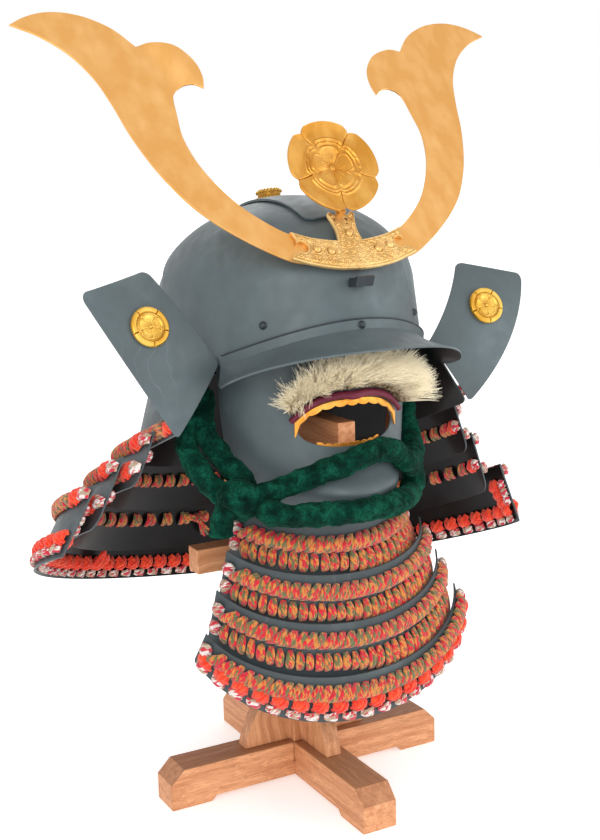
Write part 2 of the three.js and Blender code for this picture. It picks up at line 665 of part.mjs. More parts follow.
function maskSection(v) {
  const place = THREE.MathUtils.clamp(v, 0, 1) * (MASK_SECTIONS.length - 1);
  const low = Math.min(Math.floor(place), MASK_SECTIONS.length - 2);
  const [a, b] = [MASK_SECTIONS[low], MASK_SECTIONS[low + 1]];
  const t = place - low + (v < 0 ? v : 0) + (v > 1 ? v - 1 : 0);
  return Object.fromEntries(Object.keys(a).map((key) => [key, mix(a[key], b[key], t)]));
}

function maskPoint(u, v) {
  const section = maskSection(v);
  const turn = (2 * u - 1) * MASK.sweep * DEG;
  const chin = section.chin * Math.max(Math.cos(turn), 0) ** 4;
  return v3(section.width * Math.sin(turn),
    mix(MASK.backY, section.front, Math.max(Math.cos(turn), 0) ** 0.9) - chin, section.z);
}

const MASK_INSIDE = v3(0, -20, 330);

function mask() {
  const inner = lifted(maskPoint, -MASK.thickness, MASK_INSIDE);
  const face = between(maskPoint, inner, MASK.across, MASK.up);
  const { halfWidth, top, corner, low } = MOUTH;
  const shape = new THREE.Shape();
  shape.moveTo(-halfWidth, corner);
  shape.quadraticCurveTo(2 - halfWidth, top, 0, top);
  shape.quadraticCurveTo(halfWidth - 2, top, halfWidth, corner);
  shape.quadraticCurveTo(halfWidth - 4, low, 0, low);
  shape.quadraticCurveTo(4 - halfWidth, low, -halfWidth, corner);
  return cut(face, slab(shape, 80, -150));
}

// A point over the mask at x and height z, as far out from its surface as asked.
function overMask(x, z, out) {
  const last = MASK_SECTIONS.length - 1;
  const above = Math.max(1, MASK_SECTIONS.findIndex((section) => section.z >= z));
  const [a, b] = [MASK_SECTIONS[above - 1], MASK_SECTIONS[above]];
  const t = (z - a.z) / (b.z - a.z);
  const turn = Math.asin(x / mix(a.width, b.width, t));
  return lifted(maskPoint, out, MASK_INSIDE)((turn / (MASK.sweep * DEG) + 1) / 2,
    (above - 1 + t) / last);
}

// The lip, the upper teeth and the moustache follow one arch: t runs from -1, the left
// end, to 1, the right one.
function archPoint(t, out, above) {
  const height = LIP.top - LIP.drop * Math.abs(t) ** LIP.power;
  return overMask(LIP.halfWidth * t, height + above, out);
}

function upperLip() {
  const out = LIP.radius + 1;
  const points = Array.from({ length: 11 }, (_, i) => archPoint((i - 5) / 5, out, 0));
  return tube(points, LIP.radius, 6, 14);
}

// A row of gold teeth in one strip between two edges of (u, v, out).
function teeth(count, place) {
  const surface = (out) => (u, v) => place(u, v, out);
  return between(surface(TEETH.thickness), surface(0), count * 2, 1);
}

// The strip that hangs from the lip in front of the mouth's edge, a fang at each end.
function upperTeeth() {
  return teeth(TEETH.upper, (u, v, out) => {
    const t = (2 * u - 1) * 0.95;
    const scallop = TEETH.scallop * Math.abs(Math.sin(u * TEETH.upper * Math.PI));
    const reach = TEETH.band + scallop + TEETH.fang * smooth(0.86, 0.95, Math.abs(t));
    return archPoint(t, out + 0.8, -LIP.radius - 1 - reach * v);
  });
}

// The strip inside the mouth's lower edge, which shows just above it.
function lowerTeeth() {
  return teeth(TEETH.lower, (u, v, out) => {
    const x = (2 * u - 1) * (MOUTH.halfWidth - 9);
    const edge = MOUTH.low + 2.5 + 8 * Math.abs(2 * u - 1) ** 4;
    const scallop = TEETH.scallop * Math.abs(Math.sin(u * TEETH.lower * Math.PI));
    return overMask(x, edge + mix(-6, 1 + scallop, v), out - MASK.thickness - TEETH.thickness - 0.9);
  });
}

// A row of bristle locks that stand up and forward along the lip and fan out to its ends.
function moustache() {
  const { locks, length, width, out, above } = MOUSTACHE;
  const sunk = 1.5;
  const root = (t) => archPoint(t, out, above);
  const backing = Array.from({ length: 9 }, (_, i) => root((i - 4) / 4));
  const pieces = [tube(backing, 3, 5, 10)];
  for (let i = 0; i < locks; i += 1) {
    const t = (2 * i) / (locks - 1) - 1;
    const lean = v3(26 * t, -33 - 6 * t * t, 30 - 9 * t * t).normalize();
    const lock = new THREE.ConeGeometry(width, length, 4).translate(0, length / 2 - sunk, 0);
    lock.applyQuaternion(new THREE.Quaternion().setFromUnitVectors(v3(0, 1, 0), lean));
    pieces.push(lock.translate(...root(t * 0.98).toArray()));
  }
  return join(...pieces);
}

// The chin cord

// Its strands, as points chosen along the way: two from the left side to the knot, one
// over the chin and up the right side, one under the chin, and the free tail.
const STRANDS = {
  leftBack: [[-104, -18, 397], [-113, -27, 378], [-120, -34, 358], [-124, -42, 339],
    [-121, -58, 323], [-114, -74, 311], [-105, -86, 306]],
  leftFront: [[-101, -27, 391], [-107, -33, 372], [-108, -41, 356], [-104, -51, 342],
    [-98, -65, 329], [-93, -79, 319], [-94, -92, 310]],
  over: [[-98, -97, 305], [-76, -106, 311], [-50, -115, 319], [-31, -123, 327],
    [-10, -127, 333], [16, -123, 338], [39, -116, 332], [61, -103, 316], [87, -68, 317],
    [97, -46, 333], [102, -31, 354], [104, -26, 372], [104, -22, 390]],
  under: [[69, -93, 312], [76, -88, 299], [66, -95, 287], [38, -126, 291], [15, -138, 292],
    [-7, -140, 292], [-28, -136, 292], [-52, -129, 292], [-77, -122, 293], [-93, -108, 299]],
  tail: [[-110, -94, 304], [-117, -90, 290], [-118, -89, 274]],
};

function chinCord() {
  const strands = Object.values(STRANDS).map((points) => tube(points.map((p) => v3(...p)),
    CORD.radius, CORD.sides, Math.round(points.length * 1.5)));
  const knot = new THREE.SphereGeometry(CORD.knot, 8, 6).translate(-103, -95, 305);
  return join(knot, ...strands);
}

// The stand

// A bar's side: feet at both ends, a low arch between them, and sloped ends. The lap
// is the notch that the other bar crosses in, from above or from below.
function crossBar(lapAbove) {
  const { half, width, height, end, chamfer, pad, arch } = BAR;
  const lap = width / 2 + GAP;
  const middle = height / 2;
  const foot = half - pad;
  const side = (s) => [[s * foot, arch], [s * (foot + arch), 0], [s * half, 0],
    [s * half, end], [s * (half - chamfer), height]];
  const notchTop = [[lap, height], [lap, middle - GAP / 2], [-lap, middle - GAP / 2],
    [-lap, height]];
  const notchLow = [[-lap, arch], [-lap, middle + GAP / 2], [lap, middle + GAP / 2],
    [lap, arch]];
  const outline = [...(lapAbove ? [] : notchLow), ...side(1), ...(lapAbove ? notchTop : []),
    ...side(-1).reverse()];
  return slab(outline, width, -width / 2);
}

function post() {
  const { width, top } = POST;
  const foot = BAR.height + GAP;
  const { reach, height, thickness } = GUSSET;
  const gusset = new THREE.Shape();
  gusset.moveTo(0, foot);
  gusset.lineTo(width / 2 + reach, foot);
  gusset.quadraticCurveTo(width / 2 + reach - 6, foot + height * 0.6, width / 2,
    foot + height);
  gusset.lineTo(0, foot + height);
  const wings = [0, 1, 2, 3].map((i) => slab(gusset, thickness, -thickness / 2)
    .rotateZ(i * Math.PI / 2));
  const shaft = box([width, width, top - foot], [0, 0, (top + foot) / 2]);
  const slope = new THREE.CylinderGeometry(24, 42, 34, 16).rotateX(Math.PI / 2)
    .translate(0, 0, top + 9);
  return join(shaft, slope, ...wings);
}

function stand() {
  const group = new THREE.Group();
  const along = mesh("base_bar_side", crossBar(true), WOOD);
  const across = mesh("base_bar_front", crossBar(false), WOOD);
  across.rotation.z = Math.PI / 2;
  const half = POST.width / 2 + GAP;
  const barLength = SIDE_BAR.half - half;
  group.add(along, across, mesh("stand_post", post(), WOOD));
  for (const [name, s] of SIDES) {
    group.add(mesh(`side_bar_${name}`, box([barLength, SIDE_BAR.depth, SIDE_BAR.height],
      [s * (half + barLength / 2), 0, SIDE_BAR.z]), WOOD));
  }
  const armLength = -ARM.end - half;
  group.add(mesh("mask_arm", box([ARM.width, armLength, ARM.height],
    [0, ARM.end + armLength / 2, ARM.z]), WOOD));
  return group;
}

// The whole object

function helmetBowl() {
  const group = new THREE.Group();
  group.position.set(...BOWL.centre);
  group.rotation.x = BOWL.tilt;
  group.add(mesh("bowl", bowl(), IRON), mesh("brow_plate", browPlate(), IRON),
    mesh("crown_plate", crownPlate(), IRON), mesh("crown_fitting", tehen(), BRASS),
    mesh("visor", visor(), IRON), ...rivets());
  return group;
}

function hornedCrest() {
  const group = new THREE.Group();
  group.position.set(...KUWAGATA.foot);
  group.rotation.x = KUWAGATA.lean;
  const rosette = mesh("crest_rosette", crest(), GOLD);
  rosette.position.set(0, -CREST.forward, CREST.up);
  rosette.rotation.x = CREST.turn;
  group.add(mesh("horn_left", horn(-1, LOBE_BEND.left), GOLD),
    mesh("horn_right", horn(1, LOBE_BEND.right), GOLD),
    mesh("crest_plate", basePlate(), GOLD), rosette);
  return group;
}

function faceGuard() {
  const group = new THREE.Group();
  group.add(mesh("half_mask", mask(), IRON), mesh("upper_lip", upperLip(), LACQUER),
    mesh("upper_teeth", upperTeeth(), GOLD), mesh("lower_teeth", lowerTeeth(), GOLD),
    mesh("moustache", moustache(), BRISTLE), mesh("chin_cord", chinCord(), VELVET));
  return group;
}

const kabuto = new THREE.Group();
const ears = SIDES.flatMap(([name, side]) => [mesh(`ear_${name}`, ear(side), IRON),
  earDiscAt(side)]);
kabuto.add(helmetBowl(), hornedCrest(), mesh("crest_bracket", bracket(), BLACK), ...ears,
  neckGuard(), throatGuard(), faceGuard(), stand());

kabuto.updateMatrixWorld(true);
const extent = new THREE.Box3().setFromObject(kabuto, true);
const centre = extent.getCenter(new THREE.Vector3());
kabuto.position.set(-centre.x, -centre.y, -extent.min.z);

export default kabuto;
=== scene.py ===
"""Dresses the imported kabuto: iron plates, gilt crest, lacing, velvet cord, bristles and stand.

Sizes in the tables are millimetres in the maker's frame, whose Z axis runs up the middle of
the stand. placed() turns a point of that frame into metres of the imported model.
"""
import math
import random

import bmesh
import bpy
import numpy as np
from bpy.props import FloatProperty, FloatVectorProperty, IntProperty, PointerProperty
from mathutils import Matrix, Vector, noise
from mathutils.geometry import delaunay_2d_cdt


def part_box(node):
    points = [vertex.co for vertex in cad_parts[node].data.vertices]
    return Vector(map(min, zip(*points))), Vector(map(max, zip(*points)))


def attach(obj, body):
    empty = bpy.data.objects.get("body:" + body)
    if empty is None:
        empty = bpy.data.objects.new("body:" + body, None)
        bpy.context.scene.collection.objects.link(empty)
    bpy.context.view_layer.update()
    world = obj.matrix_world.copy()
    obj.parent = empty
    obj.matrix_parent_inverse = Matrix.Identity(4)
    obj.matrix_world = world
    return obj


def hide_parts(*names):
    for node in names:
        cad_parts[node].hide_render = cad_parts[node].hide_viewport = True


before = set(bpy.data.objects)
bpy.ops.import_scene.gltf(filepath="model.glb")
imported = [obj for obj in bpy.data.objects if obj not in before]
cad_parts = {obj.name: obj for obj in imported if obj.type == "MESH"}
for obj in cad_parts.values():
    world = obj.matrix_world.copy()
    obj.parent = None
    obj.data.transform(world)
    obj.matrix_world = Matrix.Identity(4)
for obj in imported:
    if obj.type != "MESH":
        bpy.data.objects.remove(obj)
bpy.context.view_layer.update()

bl_info = {
    "name": "Kabuto Finish",
    "version": (1, 0, 0),
    "blender": (4, 5, 0),
    "location": "3D View > Sidebar > Kabuto",
    "description": "Dresses a samurai helmet in iron, gilding, lacing, velvet and wood",
    "category": "Object",
}

POST_LOW, POST_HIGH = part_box("stand_post")
STAND = Vector(((POST_LOW.x + POST_HIGH.x) / 2, (POST_LOW.y + POST_HIGH.y) / 2, 0))
DEG = math.pi / 180

# ---------------------------------------------------------------------------------------
# Sizes

BOWL_WIDTH, BOWL_LENGTH, BOWL_DOME, BOWL_WALL = 112.5, 130.0, 85.0, 58.0
BOWL_FRAME = Matrix.Translation((-1.5, 12, 458)) @ Matrix.Rotation(-12 * DEG, 4, "X")
UNDER_BOWL = BOWL_FRAME @ Vector((0, 0, -60))
# The bowl's plates stand at their lifts from it. A place on the bowl is millimetres below
# the dome's base where negative, and degrees up the dome where positive.
DOME_END, DOME_SHARE_FROM = 85, 0.22
BROW_LIFT, BROW_THICKNESS, BROW_FOOT, BROW_TOP, BROW_SIDES = 1.3, 2.2, -57, 78, (91, 106)
CROWN_LIFT, CROWN_THICKNESS, CROWN_HALF_WIDTH, CROWN_FRONT, CROWN_BACK = 4.6, 2.0, 27, -104, 78
SEAM_MIDDLE, SEAM_SIDE, SEAM_LAP = -35, -57, 5
VISOR_LIFT, VISOR_THICKNESS, VISOR_SWEEP, VISOR_SIDE = 4.3, 1.8, 78 * DEG, 59 * DEG
VISOR_FLANGE, FLANGE_SHARE, VISOR_HALF_WIDTH = 9, 0.2, 118.5
VISOR_END_Y, VISOR_END_Z, VISOR_MIDDLE_Y, VISOR_MIDDLE_Z = -95, -80, -166, -65
VISOR_CORNER, VISOR_CORNER_DEPTH = 0.055, 0.42

# The fitting's and the rivets' profiles, each a radius and a height, the fitting's rope
# edges, as the number of turns, their reach, height and size, and each rivet's angle from
# the front, place up the bowl and height off it.
COLLAR_PROFILE = ((7, 0), (13, 0), (13.4, 2.8), (13, 5.4), (11.6, 6.6), (10.6, 7.8),
                  (10.6, 10.0), (11.2, 11.4), (10.8, 12.9), (9.3, 14), (7.6, 13.8), (7, 13))
ROPE_EDGES = ((26, 12.3, 5.8, 1.5), (22, 10.9, 12.2, 1.5), (18, 9.0, 13.8, 1.2))
RIVET_PROFILE = ((3.4, 0), (3.5, 0.4), (3.1, 0.7), (2.7, 1.0), (2.5, 1.7), (1.7, 2.4),
                 (0.7, 2.65))
RIVETS = (("brow_rivet_left", -39.5, -31, 3.5), ("brow_rivet_right", 39.5, -31, 3.5),
          ("visor_rivet", 0, -40, 6.1))

# Hammer marks in the brow plate, in the bowl's frame: both ends, height and width.
CREASES = (
    ((-77, -51, 53), (-91, -72, 22), 1.95, 4.0),
    ((-72, -85, 35), (-86, -82, 14), -1.65, 3.6),
    ((-82, -70, 40), (-92, -78, 20), -1.35, 8.0),
    ((77, -51, 53), (91, -72, 22), 1.8, 4.0),
    ((60, -108, 14), (65, -107, -4), 2.1, 3.0),
    ((30, -118, 40), (36, -124, 16), 1.35, 7.0),
)

CREST_FRAME = Matrix.Translation((0, -108.5, 515.2)) @ Matrix.Rotation(-37 * DEG, 4, "X")
ROSETTE_FRAME = CREST_FRAME @ Matrix.Translation((0, -14, 63)) @ Matrix.Rotation(8 * DEG, 4, "X")
ROSETTE_RADIUS, DISC_RADIUS, DISC_PLACE = 42.5, 17.0, (0.51, 0.365)
SIDES = (("left", -1), ("right", 1))

# One horn's outline in the crest's plane: outward from the middle, and up the plate.
HORN_OUTER = ((40, -21), (62, -15), (92, 5), (117, 27), (134, 48), (150, 78), (162, 112),
              (169, 143), (178, 172), (193, 197), (214, 216), (236, 227))
HORN_TOP = ((236, 227), (223, 235), (208, 240.5), (193, 242), (178, 240), (164, 235),
            (147, 224), (132, 206))
HORN_LOBE = ((132, 206), (119, 208), (100, 200), (88, 184), (85, 168), (87, 155))
HORN_HOOK = ((87, 155), (94, 160.5), (102, 161.5), (109, 158.5))
HORN_INNER = ((109, 158.5), (113.5, 151), (115.5, 132), (117, 110), (112, 85), (102, 62),
              (86, 38), (62, 16), (40, 3))

# The cast crescent's right half in the same plane: its curves, and its arcs as middle, half
# width, half height, start, end and steps. A boss has its place and radius.
CREST_BOTTOM = ((0, -29), (20, -27.5), (40, -23), (60, -15.5))
CREST_END = ((60, -15.5), (56, -11.5), (52.2, -10.8))
CREST_BITE = ((46.9, -5.2), 5.4, 5.4, -42, -318, 26)
CREST_LIP = ((51.4, -1.8), (50.6, 2.5), (53, 10))
CREST_TOP = ((53, 10), (36, 3.5), (22, 0.5), (11.5, -1))
CREST_STEM = ((11.5, -1), (10.2, 8), (11, 17), (12.6, 24), (11.2, 27.4), (7.8, 25.6),
              (5.6, 21.5), (3.4, 17.5))
CREST_NECK = ((0, 14.6), 3.6, 3.6, 40, -90, 10)
CREST_HOLE = ((7.2, 19.6), 1.5, 1.9, 0, 360, 14)
CREST_BOSSES = ((-35, -8.5, 3.6), (35, -8.5, 3.6), (-22.5, -11.5, 3.6), (22.5, -11.5, 3.6),
                (0, 5, 3.4))
TONGUE = ((7.5, 12), (7.8, 20), (6, 24), (2.5, 26), (-1.5, 31.5), (-4, 26.5), (-6.5, 24),
          (-7.8, 20), (-7.5, 12), (0, 10.5), (7.5, 12))
TONGUE_HOLE = (((2.6, 18), 2.2, 3.4, -150, 110, 12), ((1.6, 18), 1.2, 2.2, 110, -150, 9))

EAR_TOP_OUT, EAR_TOP_IN = Vector((219, -57, 477)), Vector((155, -41, 491))
EAR_LOW_OUT, EAR_LOW_IN = Vector((147, -73.9, 358)), Vector((105, -69.8, 417))
EAR_SHEET_WIDTH, EAR_SHEET_HEIGHT, EAR_THICKNESS = 70, 110, 2.0

# The neck guard's plates: the upper rim's half width, reach to the back, middle, height
# and fall, the lower rim's own, the angle of the front ends, their flare, the roll, and
# the rounding of the corners.
LAMES = (
    dict(top=(122, 134, 8, 404, 0.215), low=(146, 146, 3, 333, 0.37), end=118, flare=17,
         roll=0.8, corner=6),
    dict(top=(159, 154, 0, 341, 0.36), low=(177, 172, 0, 295, 0.38), end=104, flare=0,
         roll=2.0, corner=12),
    dict(top=(184, 175, 3, 317, 0.38), low=(209, 184, 4, 256, 0.4), end=101, flare=0,
         roll=3.4, corner=15),
    dict(top=(215, 197, 0, 289, 0.39), low=(244, 206, -2, 229, 0.4), end=102, flare=0,
         roll=5.0, corner=2),
)
LAME_THICKNESS, LAME_FRONT_REACH = 1.6, 158

# The throat guard's plates: half width, the ends' y and z, the middle's y and z, for the
# upper edge and the lower one.
THROAT = (
    ((82, -40, 277, -103, 266), (92, -46, 240, -102, 218)),
    ((100, -60, 252, -112, 229), (107, -55, 210, -108, 177)),
    ((114, -66, 220, -119, 187), (122, -62, 177, -116, 132)),
    ((129, -74, 186, -126, 141), (139, -69, 162, -124, 99)),
)
THROAT_SWEEP, THROAT_CORNER = 76 * DEG, 3

# The half mask's sections: height, half width, the middle's depth, the chin's reach.
MASK_SECTIONS = ((272, 74, -104, 0), (286, 77, -107, 15), (304, 80, -109, 25),
                 (318, 82, -110, 12), (332, 84, -111, 0), (352, 86, -110, -2),
                 (374, 88, -109, -1), (416, 90, -106, 0))
MASK_SWEEP, MASK_BACK, MASK_THICKNESS, MASK_SHEET_RADIUS = 88 * DEG, -25, 1.8, 88.0
MOUTH_WIDTH, MOUTH_TOP, MOUTH_CORNER, MOUTH_LOW = 47, 379, 357, 341
LIP_WIDTH, LIP_TOP, LIP_DROP, LIP_POWER, LIP_RADIUS = 51.5, 386.5, 20.5, 3.2, 3.4
TEETH, TEETH_THICKNESS = 9, 1.6

CORD_RADIUS, CORD_KNOT = 10.4, Vector((-103, -95, 305))
CORD_STRANDS = (
    ((-104, -18, 397), (-113, -27, 378), (-120, -34, 358), (-124, -42, 339), (-121, -58, 323),
     (-114, -74, 311), (-105, -86, 306)),
    ((-101, -27, 391), (-107, -33, 372), (-108, -41, 356), (-104, -51, 342), (-98, -65, 329),
     (-93, -79, 319), (-94, -92, 310)),
    ((-98, -97, 305), (-76, -106, 311), (-50, -115, 319), (-31, -123, 327), (-10, -127, 333),
     (16, -123, 338), (39, -116, 332), (61, -103, 316), (87, -68, 317), (97, -46, 333),
     (102, -31, 354), (104, -26, 372), (104, -22, 390)),
    ((69, -93, 312), (76, -88, 299), (66, -95, 287), (38, -126, 291), (15, -138, 292),
     (-7, -140, 292), (-28, -136, 292), (-52, -129, 292), (-77, -122, 293), (-93, -108, 299)),
    ((-110, -94, 304), (-117, -90, 290), (-118, -89, 274)),
)
# The knot's loops: turn, tilt, reach from the knot's middle, and thickness.
CORD_LOOPS = ((0.2, 0.5, 12.0, 7.0), (1.4, -0.4, 11.5, 7.0), (2.5, 0.9, 11.0, 6.5))

# The rows of lacing outside: plate, name, span down the plate, and how it is laid.
LAME_ROWS = (
    (1, "low", 0.78, 0.92, "rope"), (2, "high", 0.04, 0.24, "wraps"),
    (2, "low", 0.56, 0.78, "rope"), (3, "high", 0.04, 0.24, "wraps"),
    (3, "low", 0.52, 0.74, "rope"), (4, "high", 0.04, 0.22, "rope"),
    (4, "knots", 0.66, 0.8, "knots"), (4, "edge", 0.83, 0.94, "edge"),
)
THROAT_ROWS = (
    (1, "rope", 0.14, 0.34), (1, "wraps", 0.44, 0.72), (2, "rope", 0.18, 0.4),
    (2, "wraps", 0.52, 0.78), (3, "rope", 0.17, 0.37), (3, "wraps", 0.5, 0.76),
    (4, "rope", 0.24, 0.46), (4, "knots", 0.5, 0.72), (4, "edge", 0.76, 0.93),
)
YARNS = ("mixed_yarn_finish", "orange_yarn_finish", "white_red_yarn_finish")
# How tall each kind is laid, how far it stands off its plate, and how wide a knot may be.
LAME_HEIGHTS = {"rope": 13, "wraps": 13.5, "knots": 15, "edge": 9}
THROAT_HEIGHTS = {"rope": 12.5, "wraps": 15, "knots": 9, "edge": 9}
THROAT_GROWTH = 30
# The room at a row's ends: with knots of their own there, and without.
LAME_ROOM, THROAT_ROOM, INNER_ROOM = (30, 3), (14, 2), 20
ROPE_LIFT, WRAP_LIFT, EDGE_LIFT, LARGEST_KNOT, LARGEST_EDGE = 5.6, 5.2, 4.6, 12.8, 13
# Inside: the pairs of wraps, with their plate, middle and pitch, the rows of knots, the
# knots up the front ends, the bow, and the loops that hang below, with their length.
INNER_WRAPS = ((2, 0.42, 19), (3, 0.52, 23))
INNER_KNOTS = ((0.74, "knots"), (0.895, "edge"))
INNER_KNOT_PITCH, END_KNOTS = 18, (0.6, 0.46, 0.32)
BOW_LAME, BOW_MIDDLE, BOW_PLACE = 3, 0.52, 318
HANGING_LOOPS = ((243, 17), (251, 12))

# The bristles' length, thickness at root and tip, and number in a clump.
BRISTLE_LENGTH, BRISTLE_ROOT, BRISTLE_TIP, CLUMP = 44, 0.34, 0.08, 14

# Each wooden piece's axes: along its grain, then the two across it.
GRAIN = {"base_bar_side": (0, 1, 2), "base_bar_front": (1, 0, 2), "stand_post": (2, 0, 1),
         "side_bar_left": (0, 2, 1), "side_bar_right": (0, 2, 1), "mask_arm": (1, 2, 0)}

# Each light's place, width and power.
LIGHTS = (("key_light", (-1300, -2100, 1300), 1.5, 24),
          ("fill_light", (1700, -1700, 900), 1.6, 14),
          ("back_light", (900, 1700, 1800), 1.4, 8))
FLOOR_REACH = 40
# The camera is turned from straight ahead, dipped and rolled by its angles.
CAMERA_PLACE = (-566.75, -1072.62, 580.87)
CAMERA_TURN, CAMERA_DIP, CAMERA_ROLL = 28.1636 * DEG, 10.9615 * DEG, -1.5024 * DEG


def mix(a, b, t):
    """Returns the value a share t of the way from a to b."""
    return a + (b - a) * t


def smooth(a, b, x):
    """Returns 0 below a, 1 above b and an even curve between them."""
    t = min(max((x - a) / (b - a), 0.0), 1.0)
    return t * t * (3 - 2 * t)


def ridge(x, middle, width):
    """Returns 1 where x is at the middle, falling to 0 on both sides over about the width."""
    return math.exp(-((x - middle) / width) ** 2)


def full_turn(count):
    """Returns that many angles at even steps round a circle."""
    return [2 * math.pi * k / count for k in range(count)]


def arc_angles(start, end, steps):
    """Returns the angles of an arc between two angles in degrees, at even steps."""
    return [mix(start, end, k / steps) * DEG for k in range(steps + 1)]


def arc(middle, wide, tall, start, end, steps):
    """Returns the points of a flat arc round its middle, between two angles in degrees."""
    return [(middle[0] + wide * math.cos(a), middle[1] + tall * math.sin(a))
            for a in arc_angles(start, end, steps)]


def even_places(start, end, count):
    """Returns the middles of that many equal steps between two places."""
    return [mix(start, end, (k + 0.5) / count) for k in range(count)]


def placed(point):
    """Turns a point in millimetres of the maker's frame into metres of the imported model."""
    return Vector(point) * 0.001 + STAND


def rough(point, scale, seed=0.0):
    """Returns smooth noise from -1 to 1 whose grains are about scale millimetres wide."""
    return noise.noise(Vector(point) / scale + Vector((seed, 1.7 * seed, -seed)))


# ---------------------------------------------------------------------------------------
# Building meshes


class Form:
    """A mesh on its way: points in millimetres, faces, and what the finishes read."""

    def __init__(self):
        self.points, self.faces, self.slots = [], [], []
        self.local, self.mark = [], []

    def point(self, place, local=(0, 0, 0), mark=0.5):
        """Adds a point with its own lengthwise place and its mark, and returns its number."""
        self.points.append(Vector(place))
        self.local.append(tuple(local))
        self.mark.append(mark)
        return len(self.points) - 1

    def face(self, *corners, slot=0):
        """Adds a face, which takes the finish in that slot."""
        self.faces.append(corners)
        self.slots.append(slot)

    def band(self, low, high, closed=True, slot=0):
        """Adds the faces between two rows of points."""
        for k in range(len(low) if closed else len(low) - 1):
            n = (k + 1) % len(low)
            self.face(low[k], low[n], high[n], high[k], slot=slot)

    def bands(self, rows, slot=0):
        """Adds the faces between rings of points that follow each other."""
        for low, high in zip(rows, rows[1:]):
            self.band(low, high, slot=slot)

    def fan(self, ring, tip, slot=0):
        """Closes a ring of points with faces that meet at a tip."""
        for k in range(len(ring)):
            self.face(ring[k], ring[(k + 1) % len(ring)], tip, slot=slot)

    def shell(self, face, back, across, up, around=False, back_slot=0):
        """Adds the solid between two surfaces of (u, v), with walls at its edges.

        across and up are numbers of steps, or lists of the places themselves.
        """
        us = [i / across for i in range(across + 1)] if isinstance(across, int) else across
        vs = [j / up for j in range(up + 1)] if isinstance(up, int) else up
        columns = us[:-1] if around else us
        front, rear = [[[self.point(surface(u, v), (u, v, 0)) for u in columns] for v in vs]
                       for surface in (face, back)]
        for rows, slot in ((front, 0), (rear, back_slot)):
            for low, high in zip(rows, rows[1:]):
                self.band(low, high, around, slot)
        for j in (0, -1):
            self.band(front[j], rear[j], around)
        if not around:
            for i in (0, -1):
                self.band([row[i] for row in front], [row[i] for row in rear], False)

    def tube(self, path, radius, sides=8, steps=None, mark=0.5, slot=0, start=0.0, bend=None):
        """Adds a closed tube along a path. radius and mark may be functions of 0 to 1."""
        if steps:
            path = along_curve(path, steps)
        last = len(path) - 1
        radius_at = radius if callable(radius) else lambda s: radius
        mark_at = mark if callable(mark) else lambda s: mark
        tangent = (path[1] - path[0]).normalized()
        side = tangent.orthogonal().normalized()
        rings, travelled = [], start
        for i, centre in enumerate(path):
            ahead = path[min(i + 1, last)] - path[max(i - 1, 0)]
            if ahead.length > 1e-9:
                tangent = ahead.normalized()
            side = (side - tangent * side.dot(tangent)).normalized()
            across = tangent.cross(side)
            if i:
                travelled += (centre - path[i - 1]).length
            share = i / last
            r = radius_at(share)
            ring = []
            for angle in full_turn(sides):
                cos, sin = math.cos(angle), math.sin(angle)
                out = side * cos + across * sin
                reach = r if bend is None else bend(centre, out, r)
                ring.append(self.point(centre + out * reach, (r * cos, r * sin, travelled),
                                       mark_at(share)))
            rings.append(ring)
        self.bands(rings, slot)
        for end, place in ((0, start), (-1, travelled)):
            tip = self.point(path[end], (0, 0, place), mark_at(-end))
            self.fan(rings[end], tip, slot)

    def disc(self, frame_of, height, radius, shares, around, depth=0.0, outline=None):
        """Adds a round plate whose face stands at height(share, angle), with a plain back."""
        edge = outline or (lambda angle: 1.0)

        def ring(share, height_at, layer):
            row = []
            for angle in full_turn(around):
                r = radius * share * edge(angle)
                row.append(self.point(frame_of @ Vector((
                    r * math.cos(angle), -height_at(share, angle), r * math.sin(angle))),
                    (share, angle, layer)))
            return row

        middle = self.point(frame_of @ Vector((0, -height(0, 0), 0)))
        rows = [ring(share, height, 0) for share in shares]
        rows += [ring(share, lambda r, angle: depth * r * r, 1) for share in (1.0, 0.5)]
        self.bands(rows)
        self.fan(rows[0], middle)
        self.fan(rows[-1], self.point(frame_of @ Vector((0, 0, 0))))

    def plate(self, outline, holes, spacing, place, back_slot=0):
        """Adds a plate over a flat outline with holes.

        place(x, y, layer, rim) puts a point in space, rim being its way from the edge.
        """
        loops = [outline, *holes]
        xs = [p[0] for p in outline]
        ys = [p[1] for p in outline]
        grid = []
        y, row = min(ys), 0
        while y < max(ys):
            x = min(xs) + (spacing / 2 if row % 2 else 0)
            while x < max(xs):
                grid.append((x, y))
                x += spacing
            y += spacing * 0.87
            row += 1
        grid = np.array(grid)
        keep = within(grid, loops) & (edge_distance(grid, loops) > spacing * 0.45)
        flat, edges = [], []
        for loop in loops:
            first = len(flat)
            flat += [Vector((p[0], p[1])) for p in loop]
            edges += [(first + i, first + (i + 1) % len(loop)) for i in range(len(loop))]
        flat += [Vector((float(p[0]), float(p[1]))) for p in grid[keep]]
        verts, _, faces, *_ = delaunay_2d_cdt(flat, edges, [], 0, 1e-5)
        centres = np.array([[sum(verts[i][k] for i in f) / len(f) for k in (0, 1)]
                            for f in faces])
        faces = [f for f, inside in zip(faces, within(centres, loops)) if inside]
        used = sorted({i for f in faces for i in f})
        rims = dict(zip(used, edge_distance(np.array([verts[i] for i in used]), loops)))
        layers = []
        for layer in (0, 1):
            layers.append({i: self.point(place(verts[i][0], verts[i][1], layer, rims[i]),
                                         (verts[i][0], verts[i][1], layer)) for i in used})
        borders = {}
        for f in faces:
            self.face(*[layers[0][i] for i in f])
            self.face(*[layers[1][i] for i in reversed(f)], slot=back_slot)
            for i, n in zip(f, [*f[1:], f[0]]):
                borders[(i, n)] = borders.get((i, n), 0) + 1
        for i, n in borders:
            if (n, i) not in borders:
                self.face(layers[0][n], layers[0][i], layers[1][i], layers[1][n])


